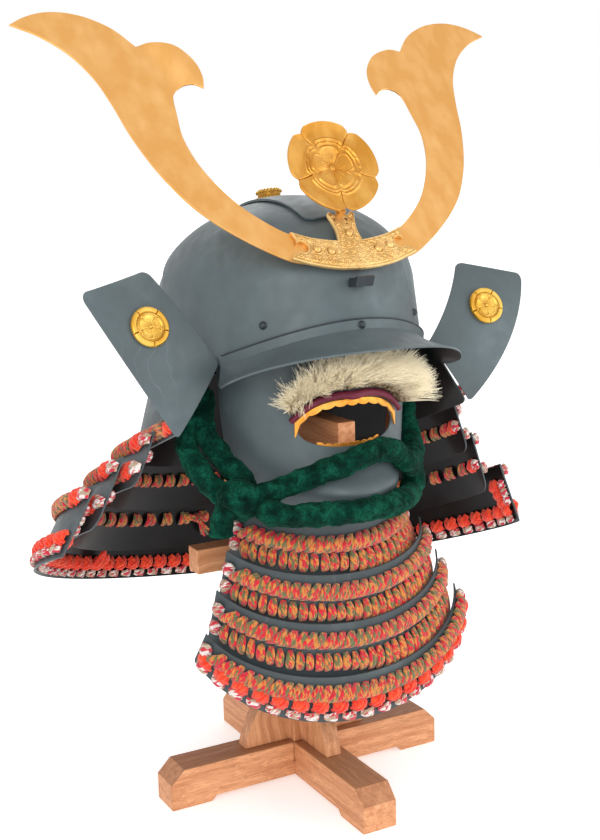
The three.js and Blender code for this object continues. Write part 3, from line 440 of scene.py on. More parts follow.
def within(points, loops):
    """Tells for each flat point whether it lies inside the loops, by the even-odd rule."""
    inside = np.zeros(len(points), bool)
    for loop in loops:
        a = np.array(loop, float)
        b = np.roll(a, -1, axis=0)
        for (ax, ay), (bx, by) in zip(a, b):
            if ay == by:
                continue
            crosses = (points[:, 1] < ay) != (points[:, 1] < by)
            x = ax + (points[:, 1] - ay) / (by - ay) * (bx - ax)
            inside ^= crosses & (points[:, 0] < x)
    return inside


def edge_distance(points, loops):
    """Returns each flat point's distance from the nearest edge of the loops."""
    best = np.full(len(points), 1e9)
    for loop in loops:
        a = np.array(loop, float)
        for start, end in zip(a, np.roll(a, -1, axis=0)):
            step = end - start
            size = max(float(step @ step), 1e-12)
            t = np.clip(((points - start) @ step) / size, 0, 1)
            best = np.minimum(best, np.linalg.norm(points - start - t[:, None] * step, axis=1))
    return best


def along_curve(points, count):
    """Returns count + 1 points at even lengths on a smooth curve through the points."""
    points = [Vector(p) for p in points]
    dense = []
    for i in range(len(points) - 1):
        before = points[i - 1] if i else points[0] * 2 - points[1]
        a, b = points[i], points[i + 1]
        after = points[i + 2] if i + 2 < len(points) else b * 2 - a
        for k in range(12):
            t = k / 12
            dense.append(0.5 * (2 * a + (b - before) * t + (2 * before - 5 * a + 4 * b - after)
                                * t * t + (3 * a - before - 3 * b + after) * t ** 3))
    dense.append(points[-1])
    lengths = [0.0]
    for a, b in zip(dense, dense[1:]):
        lengths.append(lengths[-1] + (b - a).length)
    made, i = [], 0
    for k in range(count + 1):
        goal = lengths[-1] * k / count
        while i < len(dense) - 2 and lengths[i + 1] < goal:
            i += 1
        span = max(lengths[i + 1] - lengths[i], 1e-9)
        made.append(dense[i].lerp(dense[i + 1], min((goal - lengths[i]) / span, 1.0)))
    return made


def flat_curve(points, spacing):
    """Returns a smooth flat line through the points, cut to steps of about the spacing."""
    solid = [(p[0], p[1], 0) for p in points]
    length = sum(math.dist(a, b) for a, b in zip(solid, solid[1:]))
    return [(p.x, p.y) for p in along_curve(solid, max(2, round(length / spacing)))]


def cut_sides(corners, spacing):
    """Returns a closed outline with its straight sides cut to steps of about the spacing."""
    made = []
    for a, b in zip(corners, [*corners[1:], corners[0]]):
        steps = max(1, round(math.dist(a, b) / spacing))
        made += [(mix(a[0], b[0], k / steps), mix(a[1], b[1], k / steps)) for k in range(steps)]
    return made


def point_and_normal(surface, u, v, step, inside):
    """Returns a surface's point and its normal there, on the side away from inside."""
    p = surface(u, v)
    normal = (surface(u + step, v) - surface(u - step, v)).cross(
        surface(u, v + step) - surface(u, v - step)).normalized()
    if normal.dot(p - inside) < 0:
        normal.negate()
    return p, normal


def lifted(surface, height, inside):
    """Returns the surface moved along its normal, on the side that faces away from inside."""
    def moved(u, v):
        p, normal = point_and_normal(surface, u, v, 1e-3, inside)
        return p + normal * height

    return moved


def cavity(mesh, gain):
    """Sets each point's mark from 0 in a hollow to 1 on a crest."""
    count = len(mesh.vertices)
    places = np.empty(count * 3)
    normals = np.empty(count * 3)
    mesh.vertices.foreach_get("co", places)
    mesh.vertices.foreach_get("normal", normals)
    places, normals = places.reshape(-1, 3), normals.reshape(-1, 3)
    ends = np.empty(len(mesh.edges) * 2, int)
    mesh.edges.foreach_get("vertices", ends)
    ends = ends.reshape(-1, 2)
    value = np.zeros(count)
    total = np.zeros(count)
    step = places[ends[:, 1]] - places[ends[:, 0]]
    size = np.linalg.norm(step, axis=1) + 1e-9
    for side, sign in ((0, 1), (1, -1)):
        lean = np.einsum("ij,ij->i", step * sign, normals[ends[:, side]]) / size
        np.add.at(value, ends[:, side], lean)
        np.add.at(total, ends[:, side], 1)
    value /= np.maximum(total, 1)
    for _ in range(2):
        spread = np.zeros(count)
        np.add.at(spread, ends[:, 0], value[ends[:, 1]])
        np.add.at(spread, ends[:, 1], value[ends[:, 0]])
        value = 0.5 * value + 0.5 * spread / np.maximum(total, 1)
    mesh.attributes["mark"].data.foreach_set("value", np.clip(0.5 - gain * value, 0, 1))


def linked(name, data):
    """Makes an object of the data and puts it into the scene."""
    made = bpy.data.objects.new(name, data)
    bpy.context.collection.objects.link(made)
    return made


def round_edges(piece, width, harden=True):
    """Rounds a piece's sharp edges by a width in millimetres."""
    edge = piece.modifiers.new("edge", "BEVEL")
    edge.width, edge.segments, edge.limit_method = width * 0.001, 2, "ANGLE"
    edge.angle_limit, edge.harden_normals = 50 * DEG, harden


def make_piece(name, form, finishes, replaces=(), bevel=0.0, sharp=42, hollow=0.0):
    """Makes an object of the form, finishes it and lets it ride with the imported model."""
    mesh = bpy.data.meshes.new(name)
    mesh.from_pydata([placed(p) for p in form.points], [], form.faces)
    for key, kind, width, values in (("local", "FLOAT_VECTOR", "vector", form.local),
                                     ("mark", "FLOAT", "value", form.mark)):
        layer = mesh.attributes.new(key, kind, "POINT")
        layer.data.foreach_set(width, np.array(values, np.float32).ravel())
    worked = bmesh.new()
    worked.from_mesh(mesh)
    bmesh.ops.recalc_face_normals(worked, faces=worked.faces)
    worked.to_mesh(mesh)
    worked.free()
    piece = finish_piece(name, mesh, finishes, replaces, bevel, sharp, hollow)
    mesh.polygons.foreach_set("material_index", form.slots)
    return piece


def finish_piece(name, mesh, finishes, replaces=(), bevel=0.0, sharp=42, hollow=0.0):
    """Gives a mesh its finishes, shading and rounded edges, and its place in the model."""
    mesh.shade_smooth()
    mesh.set_sharp_from_angle(angle=sharp * DEG)
    if hollow:
        cavity(mesh, hollow)
    mesh.materials.clear()
    for key in finishes:
        mesh.materials.append(bpy.data.materials[key])
    piece = linked(name, mesh)
    if bevel:
        round_edges(piece, bevel)
    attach(piece, "root")
    if replaces:
        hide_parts(*replaces)
    return piece


# ---------------------------------------------------------------------------------------
# The helmet's surfaces


def bowl_point(theta, along, lift=0.0):
    """A point of the bowl in its own frame, at an angle from the front and a place up it."""
    phi = max(along, 0) * DEG
    radius = math.cos(phi)
    p = Vector((BOWL_WIDTH * radius * math.sin(theta), -BOWL_LENGTH * radius * math.cos(theta),
                along if along < 0 else BOWL_DOME * math.sin(phi)))
    normal = Vector((p.x / BOWL_WIDTH ** 2, p.y / BOWL_LENGTH ** 2,
                     max(p.z, 0) / BOWL_DOME ** 2)).normalized()
    return p + normal * lift


def bowl_along(v, low, high):
    """Shares v between the bowl's wall and its dome."""
    wall = DOME_SHARE_FROM
    return low * (1 - v / wall) if v < wall else high * (v - wall) / (1 - wall)


def seam_height(theta):
    """Height of the visor's seam on the brow plate."""
    return mix(SEAM_MIDDLE, SEAM_SIDE, math.sin(theta) ** 2)


def crease_lift(p):
    """How far the brow plate's hammer marks raise or sink a point of the bowl's frame."""
    lift = 0.5 * rough(p, 30, 3) + 0.12 * rough(p, 9, 5)
    for start, end, height, width in CREASES:
        start, end = Vector(start), Vector(end)
        t = min(max((p - start).dot(end - start) / (end - start).length_squared, 0), 1)
        lift += height * ridge((p - start.lerp(end, t)).length, 0, width)
    return lift


def brow_surface(lift):
    """The brow plate's surface of (u, v), in the maker's frame."""
    def surface(u, v):
        side = mix(*BROW_SIDES, smooth(4, 40, bowl_along(v, BROW_FOOT, BROW_TOP))) * DEG
        theta = mix(-side, side, u)
        along = bowl_along(v, seam_height(theta) - SEAM_LAP, BROW_TOP)
        p = bowl_point(theta, along, lift)
        fade = smooth(0.0, 0.12, v) * smooth(0, 0.04, u) * smooth(0, 0.04, 1 - u)
        return BOWL_FRAME @ (p + (p - Vector((0, 0, -20))).normalized()
                             * max(crease_lift(p) * fade, -0.9))
    return surface


def crown_surface(lift):
    """The crown plate's surface of (u, v), which runs from the forehead to the back."""
    def surface(u, v):
        way = abs(v - 0.5) * 2
        round_off = math.sqrt(max(0.0, 1 - (max(way - 0.93, 0) / 0.07) ** 2 * 0.5))
        x = mix(-CROWN_HALF_WIDTH, CROWN_HALF_WIDTH, u) * mix(1, 0.86, way) * round_off
        y = mix(CROWN_FRONT, CROWN_BACK, v)
        flat = math.hypot(x / BOWL_WIDTH, y / BOWL_LENGTH)
        p = bowl_point(math.atan2(x / BOWL_WIDTH, -y / BOWL_LENGTH),
                       math.acos(flat) / DEG, lift)
        return BOWL_FRAME @ p
    return surface


def swept(t, sweep, width, end, middle):
    """A point of a curved rim: t from -1 to 1, and the y and z of its ends and middle."""
    cos = math.cos(sweep)
    out = (math.cos(t * sweep) - cos) / (1 - cos)
    return Vector((width * math.sin(t * sweep) / math.sin(sweep),
                   mix(end[0], middle[0], out), mix(end[1], middle[1], out)))


def visor_surface(u, v):
    """The visor: its flange on the brow, up to FLANGE_SHARE, then the brim curving out."""
    t = 2 * u - 1
    theta = t * VISOR_SIDE
    top = bowl_point(theta, seam_height(theta), VISOR_LIFT)
    low = bowl_point(theta, seam_height(theta) - VISOR_FLANGE, VISOR_LIFT)
    if v < FLANGE_SHARE:
        return BOWL_FRAME @ top.lerp(low, v / FLANGE_SHARE)
    edge = swept(t, VISOR_SWEEP, VISOR_HALF_WIDTH, (VISOR_END_Y, 0), (VISOR_MIDDLE_Y, 0))
    edge.z = mix(VISOR_MIDDLE_Z, VISOR_END_Z, abs(t) ** 2.6)
    bend = low.lerp(edge, 0.4) + Vector((0, 3, -3 - 11 * t ** 4))
    s = (v - FLANGE_SHARE) / (1 - FLANGE_SHARE)
    return BOWL_FRAME @ (low * (1 - s) ** 2 + bend * 2 * s * (1 - s) + edge * s * s)


def lame_surface(lame):
    """A lame's surface: u from its left front end round the back, v down. It is rolled."""
    height = (lame["top"][3] + lame["low"][3]) / 2
    roll = (Matrix.Translation((0, 0, height)) @ Matrix.Rotation(lame["roll"] * DEG, 4, "Y")
            @ Matrix.Translation((0, 0, -height)))
    end, flare = lame["end"], lame["flare"]

    def rim(sizes, turn, flared):
        width, back, y, z, fall = sizes
        reach = (back if math.cos(turn) > 0 else LAME_FRONT_REACH) * math.cos(turn)
        return Vector((width * math.sin(turn) + math.copysign(flared, turn), y + reach,
                       z - fall * reach))

    def surface(u, v):
        turn = mix(-end, end, u) * DEG
        front = max(0.0, (abs(turn) / DEG - 90) / (end - 90))
        return roll @ rim(lame["top"], turn, 0).lerp(rim(lame["low"], turn, flare * front ** 2), v)

    return surface


def throat_surface(plate):
    """A throat plate's surface: u from left to right, v down."""
    def surface(u, v):
        high, low = (swept(2 * u - 1, THROAT_SWEEP, width, (end_y, end_z), (mid_y, mid_z))
                     for width, end_y, end_z, mid_y, mid_z in plate)
        return high.lerp(low, v)

    return surface


def mask_row(z):
    """The mask's half width, middle depth and chin reach at a height, read smoothly."""
    rows = MASK_SECTIONS
    i = 0
    while i < len(rows) - 2 and rows[i + 1][0] < z:
        i += 1
    (z0, *a), (z1, *b) = rows[i], rows[i + 1]
    before = rows[max(i - 1, 0)]
    after = rows[min(i + 2, len(rows) - 1)]
    t = (z - z0) / (z1 - z0)
    values = []
    for k in range(3):
        slope_a = (b[k] - before[k + 1]) / (z1 - before[0]) * (z1 - z0)
        slope_b = (after[k + 1] - a[k]) / (after[0] - z0) * (z1 - z0)
        values.append((2 * t ** 3 - 3 * t * t + 1) * a[k] + (t ** 3 - 2 * t * t + t) * slope_a
                      + (3 * t * t - 2 * t ** 3) * b[k] + (t ** 3 - t * t) * slope_b)
    return values


def mask_point(turn, z):
    """A point of the mask's face at an angle from the middle and a height."""
    width, front, chin = mask_row(z)
    cos = max(math.cos(turn), 0)
    return Vector((width * math.sin(turn), mix(MASK_BACK, front, cos ** 0.9)
                   - chin * cos ** 4, z))


MASK_INSIDE = Vector((0, -20, 330))


def over_mask(x, z, out):
    """A point above the mask at x and height z, as far out from its face as asked."""
    turn = math.asin(max(-1.0, min(1.0, x / mask_row(z)[0])))
    return lifted(mask_point, out, MASK_INSIDE)(turn, z)


def arch_point(t, out, above):
    """A point on the arch over the mouth, t from -1 at its left end to 1 at its right."""
    return over_mask(LIP_WIDTH * t, LIP_TOP - LIP_DROP * abs(t) ** LIP_POWER + above, out)


def ear_point(side, u, v):
    """A point of an ear: u from its outer edge in, v from top to bottom."""
    top = EAR_TOP_OUT.lerp(EAR_TOP_IN, u)
    p = top.lerp(EAR_LOW_OUT.lerp(EAR_LOW_IN, u), v)
    bow = 4 * v * (1 - v)
    return Vector((side * (p.x + 5 * bow * (1 - u)), p.y - bow * mix(16, 8, u)
                   - 12 * u * (1 - u), p.z - side * 5.5 * (1 - v)))


def ear_surface(side):
    """An ear's surface of (u, v), side being -1 for the left one and 1 for the right one."""
    return lambda u, v: ear_point(side, u, v)


def lobes_of(angle):
    """The five-petal pattern: 0 at a notch, 1 at a petal's middle. A notch points down."""
    return abs(math.sin((angle + math.pi / 2) * 2.5))


# ---------------------------------------------------------------------------------------
# Finishes


class Brush:
    """Adds nodes to a tree. A socket given as a value is linked, anything else is set."""

    def __init__(self, tree):
        self.tree = tree

    def feed(self, node, values):
        for key, value in values.items():
            if isinstance(value, bpy.types.NodeSocket):
                self.tree.links.new(value, node.inputs[key])
            else:
                node.inputs[key].default_value = value
        return node

    def node(self, kind, values=None, **settings):
        made = self.tree.nodes.new("ShaderNode" + kind)
        for key, value in settings.items():
            setattr(made, key, value)
        return self.feed(made, values or {})

    def group(self, tree, values):
        return self.feed(self.node("Group", node_tree=tree), values)

    def attribute(self, name, output):
        return self.node("Attribute", attribute_name=name).outputs[output]

    def noise(self, where, scale, detail=3.0, rough_share=0.55, stretch=None):
        if stretch:
            where = self.node("Mapping", {"Vector": where, "Scale": stretch}).outputs[0]
        return self.node("TexNoise", {"Vector": where, "Scale": scale, "Detail": detail,
                                      "Roughness": rough_share}).outputs[0]

    def remap(self, value, low, high, to_low=0.0, to_high=1.0):
        return self.node("MapRange", {0: value, 1: low, 2: high, 3: to_low, 4: to_high},
                         clamp=True).outputs[0]

    def math(self, operation, a, b):
        return self.node("Math", {0: a, 1: b}, operation=operation).outputs[0]

    def blend(self, share, a, b):
        return self.node("Mix", {0: share, 6: a, 7: b}, data_type="RGBA").outputs[2]

    def bump(self, height, distance, strength=1.0):
        return self.node("Bump", {"Height": height, "Distance": distance,
                                  "Strength": strength}).outputs[0]


def colour(*rgb):
    """Turns a screen colour of 0 to 255 into the linear one that shaders take."""
    made = []
    for value in rgb:
        share = value / 255
        linear = share / 12.92 if share <= 0.04045 else ((share + 0.055) / 1.055) ** 2.4
        made.append(min(linear, 1.0))
    return (*made, 1.0)


def shared_group(name, inputs, outputs, fill):
    """Makes a shader node group once and returns it."""
    if name in bpy.data.node_groups:
        return bpy.data.node_groups[name]
    tree = bpy.data.node_groups.new(name, "ShaderNodeTree")
    for label, kind, default in inputs:
        socket = tree.interface.new_socket(name=label, in_out="INPUT",
                                           socket_type="NodeSocket" + kind)
        if default is not None:
            socket.default_value = default
    for label, kind in outputs:
        tree.interface.new_socket(name=label, in_out="OUTPUT", socket_type="NodeSocket" + kind)
    brush = Brush(tree)
    start = tree.nodes.new("NodeGroupInput")
    end = tree.nodes.new("NodeGroupOutput")
    for label, socket in fill(brush, start.outputs).items():
        tree.links.new(socket, end.inputs[label])
    return tree


def mottle_group():
    """Cloudy change between three tones, with a fine grain for the roughness and bump."""
    def fill(brush, given):
        where = given["Vector"]
        cloud = brush.noise(where, given["Scale"], 4.0, 0.6)
        speck = brush.noise(where, brush.math("MULTIPLY", given["Scale"], 7.0), 2.0, 0.5)
        dark = brush.blend(brush.remap(cloud, 0.34, 0.6), given["Dark"], given["Tone"])
        light = brush.blend(brush.remap(cloud, 0.55, 0.74), dark, given["Light"])
        fine = brush.blend(brush.remap(speck, 0.35, 0.7, 0.0, 0.35), light, given["Dark"])
        return {"Color": fine, "Cloud": cloud, "Grain": speck}

    return shared_group("Mottle", (("Vector", "Vector", None), ("Scale", "Float", 14.0),
                        ("Tone", "Color", None), ("Light", "Color", None),
                        ("Dark", "Color", None)),
                        (("Color", "Color"), ("Cloud", "Float"), ("Grain", "Float")), fill)


def patina_group():
    """Darkens the hollows that a mesh's mark names and brightens its crests."""
    def fill(brush, given):
        mark = brush.attribute("mark", "Fac")
        hollow = brush.remap(mark, given["Edge"], 0.12, 0.0, 1.0)
        share = brush.math("MULTIPLY", hollow, given["Depth"])
        dark = brush.blend(share, given["Color"], given["Hollow"])
        crest = brush.remap(mark, 0.58, 0.9, 0.0, 0.6)
        return {"Color": brush.blend(crest, dark, given["Crest"]), "Hollow": hollow}

    return shared_group("Patina", (("Color", "Color", None), ("Hollow", "Color", None),
                        ("Crest", "Color", None), ("Depth", "Float", 1.0),
                        ("Edge", "Float", 0.48)), (("Color", "Color"), ("Hollow", "Float")), fill)


def yarn_group():
    """Plied yarn in the straightened space of a strand: three colours, fibres and plies, with
    painted shade between the fibres.
    """
    def fill(brush, given):
        where = brush.attribute("local", "Vector")
        tone = brush.attribute("mark", "Fac")
        parts = brush.node("SeparateXYZ", {0: where})
        turn = brush.math("MULTIPLY", parts.outputs[2], given["Twist"])
        spun = brush.node("VectorRotate", {"Vector": where, "Angle": turn},
                          rotation_type="Z_AXIS").outputs[0]
        shift = brush.math("MULTIPLY", tone, 61.0)
        offset = brush.node("CombineXYZ", {0: shift, 1: shift, 2: shift}).outputs[0]
        apart = brush.node("VectorMath", {0: spun, 1: offset}, operation="ADD").outputs[0]
        runs = brush.noise(apart, 1.0, 1.0, 0.4, (0.21, 0.21, 0.14))
        again = brush.noise(apart, 1.0, 1.0, 0.4, (0.18, 0.24, 0.12))
        first = brush.blend(brush.remap(runs, given["Cut"], 0.53), given["First"],
                            given["Second"])
        shade = brush.remap(again, 0.54, 0.58)
        three = brush.blend(shade, first, given["Third"])
        fibre = brush.noise(apart, 1.0, 2.0, 0.6, (2.6, 2.6, 0.7))
        # Painted shade: the low parts of the fibre bumps are darkened towards the yarn's shade
        # colour.
        fibre_shade = brush.remap(fibre, 0.32, 0.5, 0.7, 0.0)
        shaded = brush.blend(fibre_shade, three, given["Fibre Shade"])
        return {"Color": shaded, "Height": fibre}

    return shared_group("Yarn", (("First", "Color", None), ("Second", "Color", None),
                        ("Third", "Color", None), ("Fibre Shade", "Color", None),
                        ("Cut", "Float", 0.47), ("Twist", "Float", 0.6)),
                        (("Color", "Color"), ("Height", "Float")), fill)


def scratch_group():
    """Thin stray lines that show a brighter or darker layer under a worn surface."""
    def fill(brush, given):
        wave = brush.node("TexWave", {"Vector": given["Vector"], "Scale": given["Scale"],
                                      "Distortion": 18.0, "Detail": 3.0,
                                      "Detail Scale": 0.6}).outputs[1]
        line = brush.remap(wave, 0.992, 1.0)
        patch = brush.noise(given["Vector"], 9.0, 2.0)
        return {"Mask": brush.math("MULTIPLY", line, brush.remap(patch, 0.55, 0.68))}

    return shared_group("Scratches", (("Vector", "Vector", None), ("Scale", "Float", 20.0)),
                        (("Mask", "Float"),), fill)


def new_finish(name, **constants):
    """Makes a material and returns its brush, shader and object coordinates."""
    material = bpy.data.materials.new(name)
    material.use_nodes = True
    brush = Brush(material.node_tree)
    shader = material.node_tree.nodes["Principled BSDF"]
    for key, value in constants.items():
        shader.inputs[key.replace("_", " ")].default_value = value
    where = brush.node("TexCoord").outputs["Object"]
    return brush, shader, where


def wire(brush, shader, **sockets):
    """Links sockets to the shader's inputs by name."""
    brush.feed(shader, {key.replace("_", " "): socket for key, socket in sockets.items()})


def iron_finish(name, tone, light, dark, roughness=0.46):
    """Oil-blackened iron: faintly cloudy and grained, with a few stray scratches."""
    brush, shader, where = new_finish(name, Metallic=0.12, Specular_IOR_Level=0.4)
    mottle = brush.group(mottle_group(), {"Vector": where, "Scale": 11.0, "Tone": tone,
                                          "Light": light, "Dark": dark})
    scratch = brush.group(scratch_group(), {"Vector": where, "Scale": 22.0})
    worn = brush.blend(brush.math("MULTIPLY", scratch.outputs[0], 0.16),
                       mottle.outputs["Color"], colour(150, 158, 158))
    fine = brush.noise(where, 1500.0, 2.0)
    height = brush.math("ADD", brush.math("MULTIPLY", mottle.outputs["Cloud"], 0.5),
                        brush.math("MULTIPLY", fine, 0.05))
    wire(brush, shader, Base_Color=worn, Normal=brush.bump(height, 0.0012, 0.4),
         Roughness=brush.remap(mottle.outputs["Grain"], 0.3, 0.7, roughness - 0.04,
                               roughness + 0.08))


def lacquer_finish(name, tone, light, roughness):
    """Lacquer: deep colour with a thin gloss, slightly uneven."""
    brush, shader, where = new_finish(name, Coat_Roughness=0.12, Coat_Weight=0.1,
                                      Specular_IOR_Level=0.1)
    cloud = brush.noise(where, 26.0, 3.0)
    wire(brush, shader, Base_Color=brush.blend(brush.remap(cloud, 0.35, 0.7), tone, light),
         Roughness=brush.remap(cloud, 0.3, 0.7, roughness, roughness + 0.12),
         Normal=brush.bump(cloud, 0.0008, 0.4))


def gold_finish(name, tone, light, dark, roughness, relief=0.0,
                hollow=(0.117, 0.037, 0.006, 1)):
    """Gilt brass: streaked and softly brushed, or cast with dark hollows."""
    brush, shader, where = new_finish(name, Metallic=0.85)
    streak = brush.noise(where, 7.0, 3.0, 0.5, (9.0, 9.0, 0.5))
    cloud = brush.noise(where, 5.0, 2.0, 0.4, (1.6, 1.6, 0.5))
    body = brush.blend(brush.remap(cloud, 0.2, 0.6, 0.55, 1.0), dark, tone)
    body = brush.blend(brush.remap(streak, 0.4, 0.8, 0.0, 0.8), body, light)
    if relief:
        patina = brush.group(patina_group(), {"Color": body, "Hollow": hollow,
                                              "Crest": light, "Depth": relief})
        body = patina.outputs["Color"]
    fine = brush.noise(where, 260.0, 2.0, 0.5, (1.0, 1.0, 0.12))
    wire(brush, shader, Base_Color=body,
         Roughness=brush.remap(streak, 0.3, 0.7, roughness - 0.04, roughness + 0.07),
         Normal=brush.bump(fine, 0.0002, 0.3))


def yarn_finish(name, first, second, third, fibre_shade, cut=0.47):
    """Soft plied yarn in up to three colours, with a darker colour painted as shade between its
    fibres.
    """
    brush, shader, _ = new_finish(name, Roughness=0.92, Sheen_Weight=0.35,
                                  Sheen_Roughness=0.5, Specular_IOR_Level=0.15)
    yarn = brush.group(yarn_group(), {"First": first, "Second": second, "Third": third,
                                      "Fibre Shade": fibre_shade, "Cut": cut})
    wire(brush, shader, Base_Color=yarn.outputs["Color"],
         Normal=brush.bump(yarn.outputs["Height"], 0.0009, 0.9))


def velvet_finish(name):
    """Crushed velvet: patches of pile that lie different ways, with painted highlight patches on
    them, under a soft sheen.
    """
    brush, shader, where = new_finish(name, Roughness=0.9, Sheen_Weight=0.1,
                                      Sheen_Roughness=0.4, Specular_IOR_Level=0.08,
                                      Sheen_Tint=colour(90, 190, 150))
    crush_and_highlight = brush.noise(where, 62.0, 3.0, 0.6)
    pile = brush.noise(where, 520.0, 2.0, 0.6)
    body = brush.blend(brush.remap(crush_and_highlight, 0.38, 0.6), colour(0, 28, 21), colour(4, 62, 46))
    # Painted highlight: the lightest crushed patches are blended towards a pale green.
    body = brush.blend(brush.remap(crush_and_highlight, 0.52, 0.72, 0.0, 0.5), body, colour(28, 104, 80))
    body = brush.blend(brush.remap(pile, 0.42, 0.66, 0.0, 0.6), body, colour(1, 24, 19))
    fold = brush.noise(where, 150.0, 3.0, 0.6)
    height = brush.math("ADD", fold, brush.math("MULTIPLY", pile, 0.25))
    wire(brush, shader, Base_Color=body, Normal=brush.bump(height, 0.005, 1.0))


def bristle_finish(name):
    """Bristle hair, dark at some roots and pale towards the tips."""
    brush, shader, where = new_finish(name, Roughness=0.6, Specular_IOR_Level=0.3)
    mark = brush.attribute("mark", "Fac")
    spot = brush.noise(where, 300.0, 2.0)
    root = brush.blend(brush.remap(spot, 0.42, 0.6), colour(128, 100, 70), colour(224, 204, 168))
    body = brush.blend(brush.remap(mark, 0.05, 0.4), root, colour(255, 244, 216))
    tip = brush.blend(brush.remap(spot, 0.58, 0.72, 0.0, 0.7), body, colour(214, 190, 146))
    wire(brush, shader, Base_Color=tip)


def wood_finish(name):
    """Planed hardwood with its grain along each piece, pores, and painted shade that darkens its
    upward faces.
    """
    brush, shader, _ = new_finish(name, Roughness=0.5, Specular_IOR_Level=0.35)
    place = brush.attribute("local", "Vector")
    bend = brush.noise(place, 0.012, 2.0)
    parts = brush.node("SeparateXYZ", {0: place})
    warped = brush.math("ADD", parts.outputs[1], brush.math("MULTIPLY", bend, 30.0))
    across = brush.node("CombineXYZ", {0: brush.math("MULTIPLY", parts.outputs[0], 0.02),
                                       1: warped, 2: parts.outputs[2]}).outputs[0]
    ring = brush.noise(across, 1.0, 3.0, 0.6, (0.5, 0.22, 0.22))
    fine = brush.noise(across, 1.0, 3.0, 0.6, (1.0, 1.3, 1.3))
    pores = brush.noise(place, 1.0, 2.0, 0.6, (0.11, 1.9, 1.9))
    body = brush.blend(brush.remap(ring, 0.36, 0.64), colour(196, 132, 88), colour(228, 166, 120))
    body = brush.blend(brush.remap(fine, 0.4, 0.72, 0.0, 0.55), body, colour(170, 102, 62))
    body = brush.blend(brush.remap(pores, 0.6, 0.7, 0.0, 0.6), body, colour(128, 74, 44))
    # Painted shade: faces that look upwards are darkened towards a deep brown.
    facing = brush.node("SeparateXYZ", {0: brush.node("NewGeometry").outputs["Normal"]})
    body = brush.blend(brush.remap(facing.outputs[2], 0.3, 0.8, 0.0, 0.45), body,
                       colour(104, 62, 40))
    height = brush.math("ADD", fine, brush.math("MULTIPLY", pores, -0.8))
    wire(brush, shader, Base_Color=body, Normal=brush.bump(height, 0.0005, 0.6),
         Roughness=brush.remap(pores, 0.4, 0.7, 0.45, 0.65))


class KabutoColours(bpy.types.PropertyGroup):
    """The colours that a user would change."""

    iron: FloatVectorProperty(name="Iron", description="Colour of the bowl's iron",
                              subtype="COLOR", default=colour(84, 96, 99)[:3], min=0, max=1)
    lames: FloatVectorProperty(name="Lames", description="Colour of the laced plates",
                               subtype="COLOR", default=colour(68, 77, 80)[:3], min=0, max=1)
    gilding: FloatVectorProperty(name="Gilding", description="Colour of the gilt crest",
                                 subtype="COLOR", default=colour(226, 168, 94)[:3], min=0, max=1)
    lacquer: FloatVectorProperty(name="Lip lacquer", description="Colour of the mask's lip",
                                 subtype="COLOR", default=colour(84, 30, 46)[:3], min=0, max=1)


class KabutoSizes(bpy.types.PropertyGroup):
    """The sizes and numbers that a user would change."""

    rope_pitch: FloatProperty(name="Rope pitch", description="Distance between the rope's turns",
                              default=0.0088, min=0.004, max=0.03, unit="LENGTH")
    wrap_pitch: FloatProperty(name="Wrap pitch", description="Distance between upright wraps",
                              default=0.0086, min=0.004, max=0.03, unit="LENGTH")
    knot_pitch: FloatProperty(name="Knot pitch", description="Distance between edge knots",
                              default=0.018, min=0.008, max=0.05, unit="LENGTH")
    bristles: IntProperty(name="Bristles", description="Number of hairs in the moustache",
                          default=7000, min=100, max=20000)
    lens: FloatProperty(name="Lens", description="Focal length of the camera", default=57.17,
                        min=10, max=300)


class KABUTO_OT_finishes(bpy.types.Operator):
    """Make every finish that the pieces use"""

    bl_idname = "kabuto.finishes"
    bl_label = "Make Finishes"

    def execute(self, context):
        colours = context.scene.kabuto_colours
        iron, lames = (*colours.iron, 1), (*colours.lames, 1)
        gold = (*colours.gilding, 1)
        iron_finish("grey_iron_finish", iron, colour(98, 111, 114), colour(74, 84, 87))
        iron_finish("lame_iron_finish", lames, colour(80, 91, 94), colour(58, 66, 69))
        iron_finish("black_iron_finish", colour(50, 58, 62), colour(66, 74, 78),
                    colour(32, 38, 42), 0.42)
        lacquer_finish("black_lacquer_finish", colour(10, 10, 11), colour(20, 19, 20), 0.3)
        lacquer_finish("lip_finish", (*colours.lacquer, 1), colour(112, 44, 60), 0.16)
        lacquer_finish("brown_lacquer_finish", colour(120, 70, 40), colour(150, 92, 54), 0.35)
        gold_finish("gilt_plate_finish", gold, colour(240, 192, 126), colour(216, 152, 78), 0.42)
        gold_finish("gilt_relief_finish", colour(212, 168, 100), colour(244, 210, 146),
                    colour(186, 138, 70), 0.42, 1.2)
        gold_finish("gilt_rosette_finish", colour(208, 146, 56), colour(238, 190, 104),
                    colour(176, 106, 30), 0.38, 1.1)
        gold_finish("aged_brass_finish", colour(176, 128, 44), colour(214, 170, 80),
                    colour(110, 72, 20), 0.45, 0.95)
        gold_finish("gilt_teeth_finish", colour(224, 148, 56), colour(246, 186, 92),
                    colour(194, 112, 34), 0.36, 0.5)
        gold_finish("gilt_disc_finish", colour(212, 160, 56), colour(250, 212, 112),
                    colour(186, 124, 36), 0.36, 1.4, hollow=colour(44, 28, 10))
        # The fourth colour of each yarn is its painted shade between the fibres.
        yarn_finish("mixed_yarn_finish", colour(222, 34, 52), colour(224, 142, 62),
                    colour(112, 116, 70), colour(76, 26, 18), 0.5)
        yarn_finish("orange_yarn_finish", colour(250, 62, 26), colour(255, 84, 38),
                    colour(240, 50, 22), colour(176, 26, 10))
        yarn_finish("white_red_yarn_finish", colour(214, 40, 66), colour(244, 236, 230),
                    colour(190, 168, 140), colour(134, 40, 44), 0.5)
        velvet_finish("velvet_finish")
        bristle_finish("bristle_finish")
        wood_finish("wood_finish")
        return {"FINISHED"}


# ---------------------------------------------------------------------------------------
# Pieces of the helmet


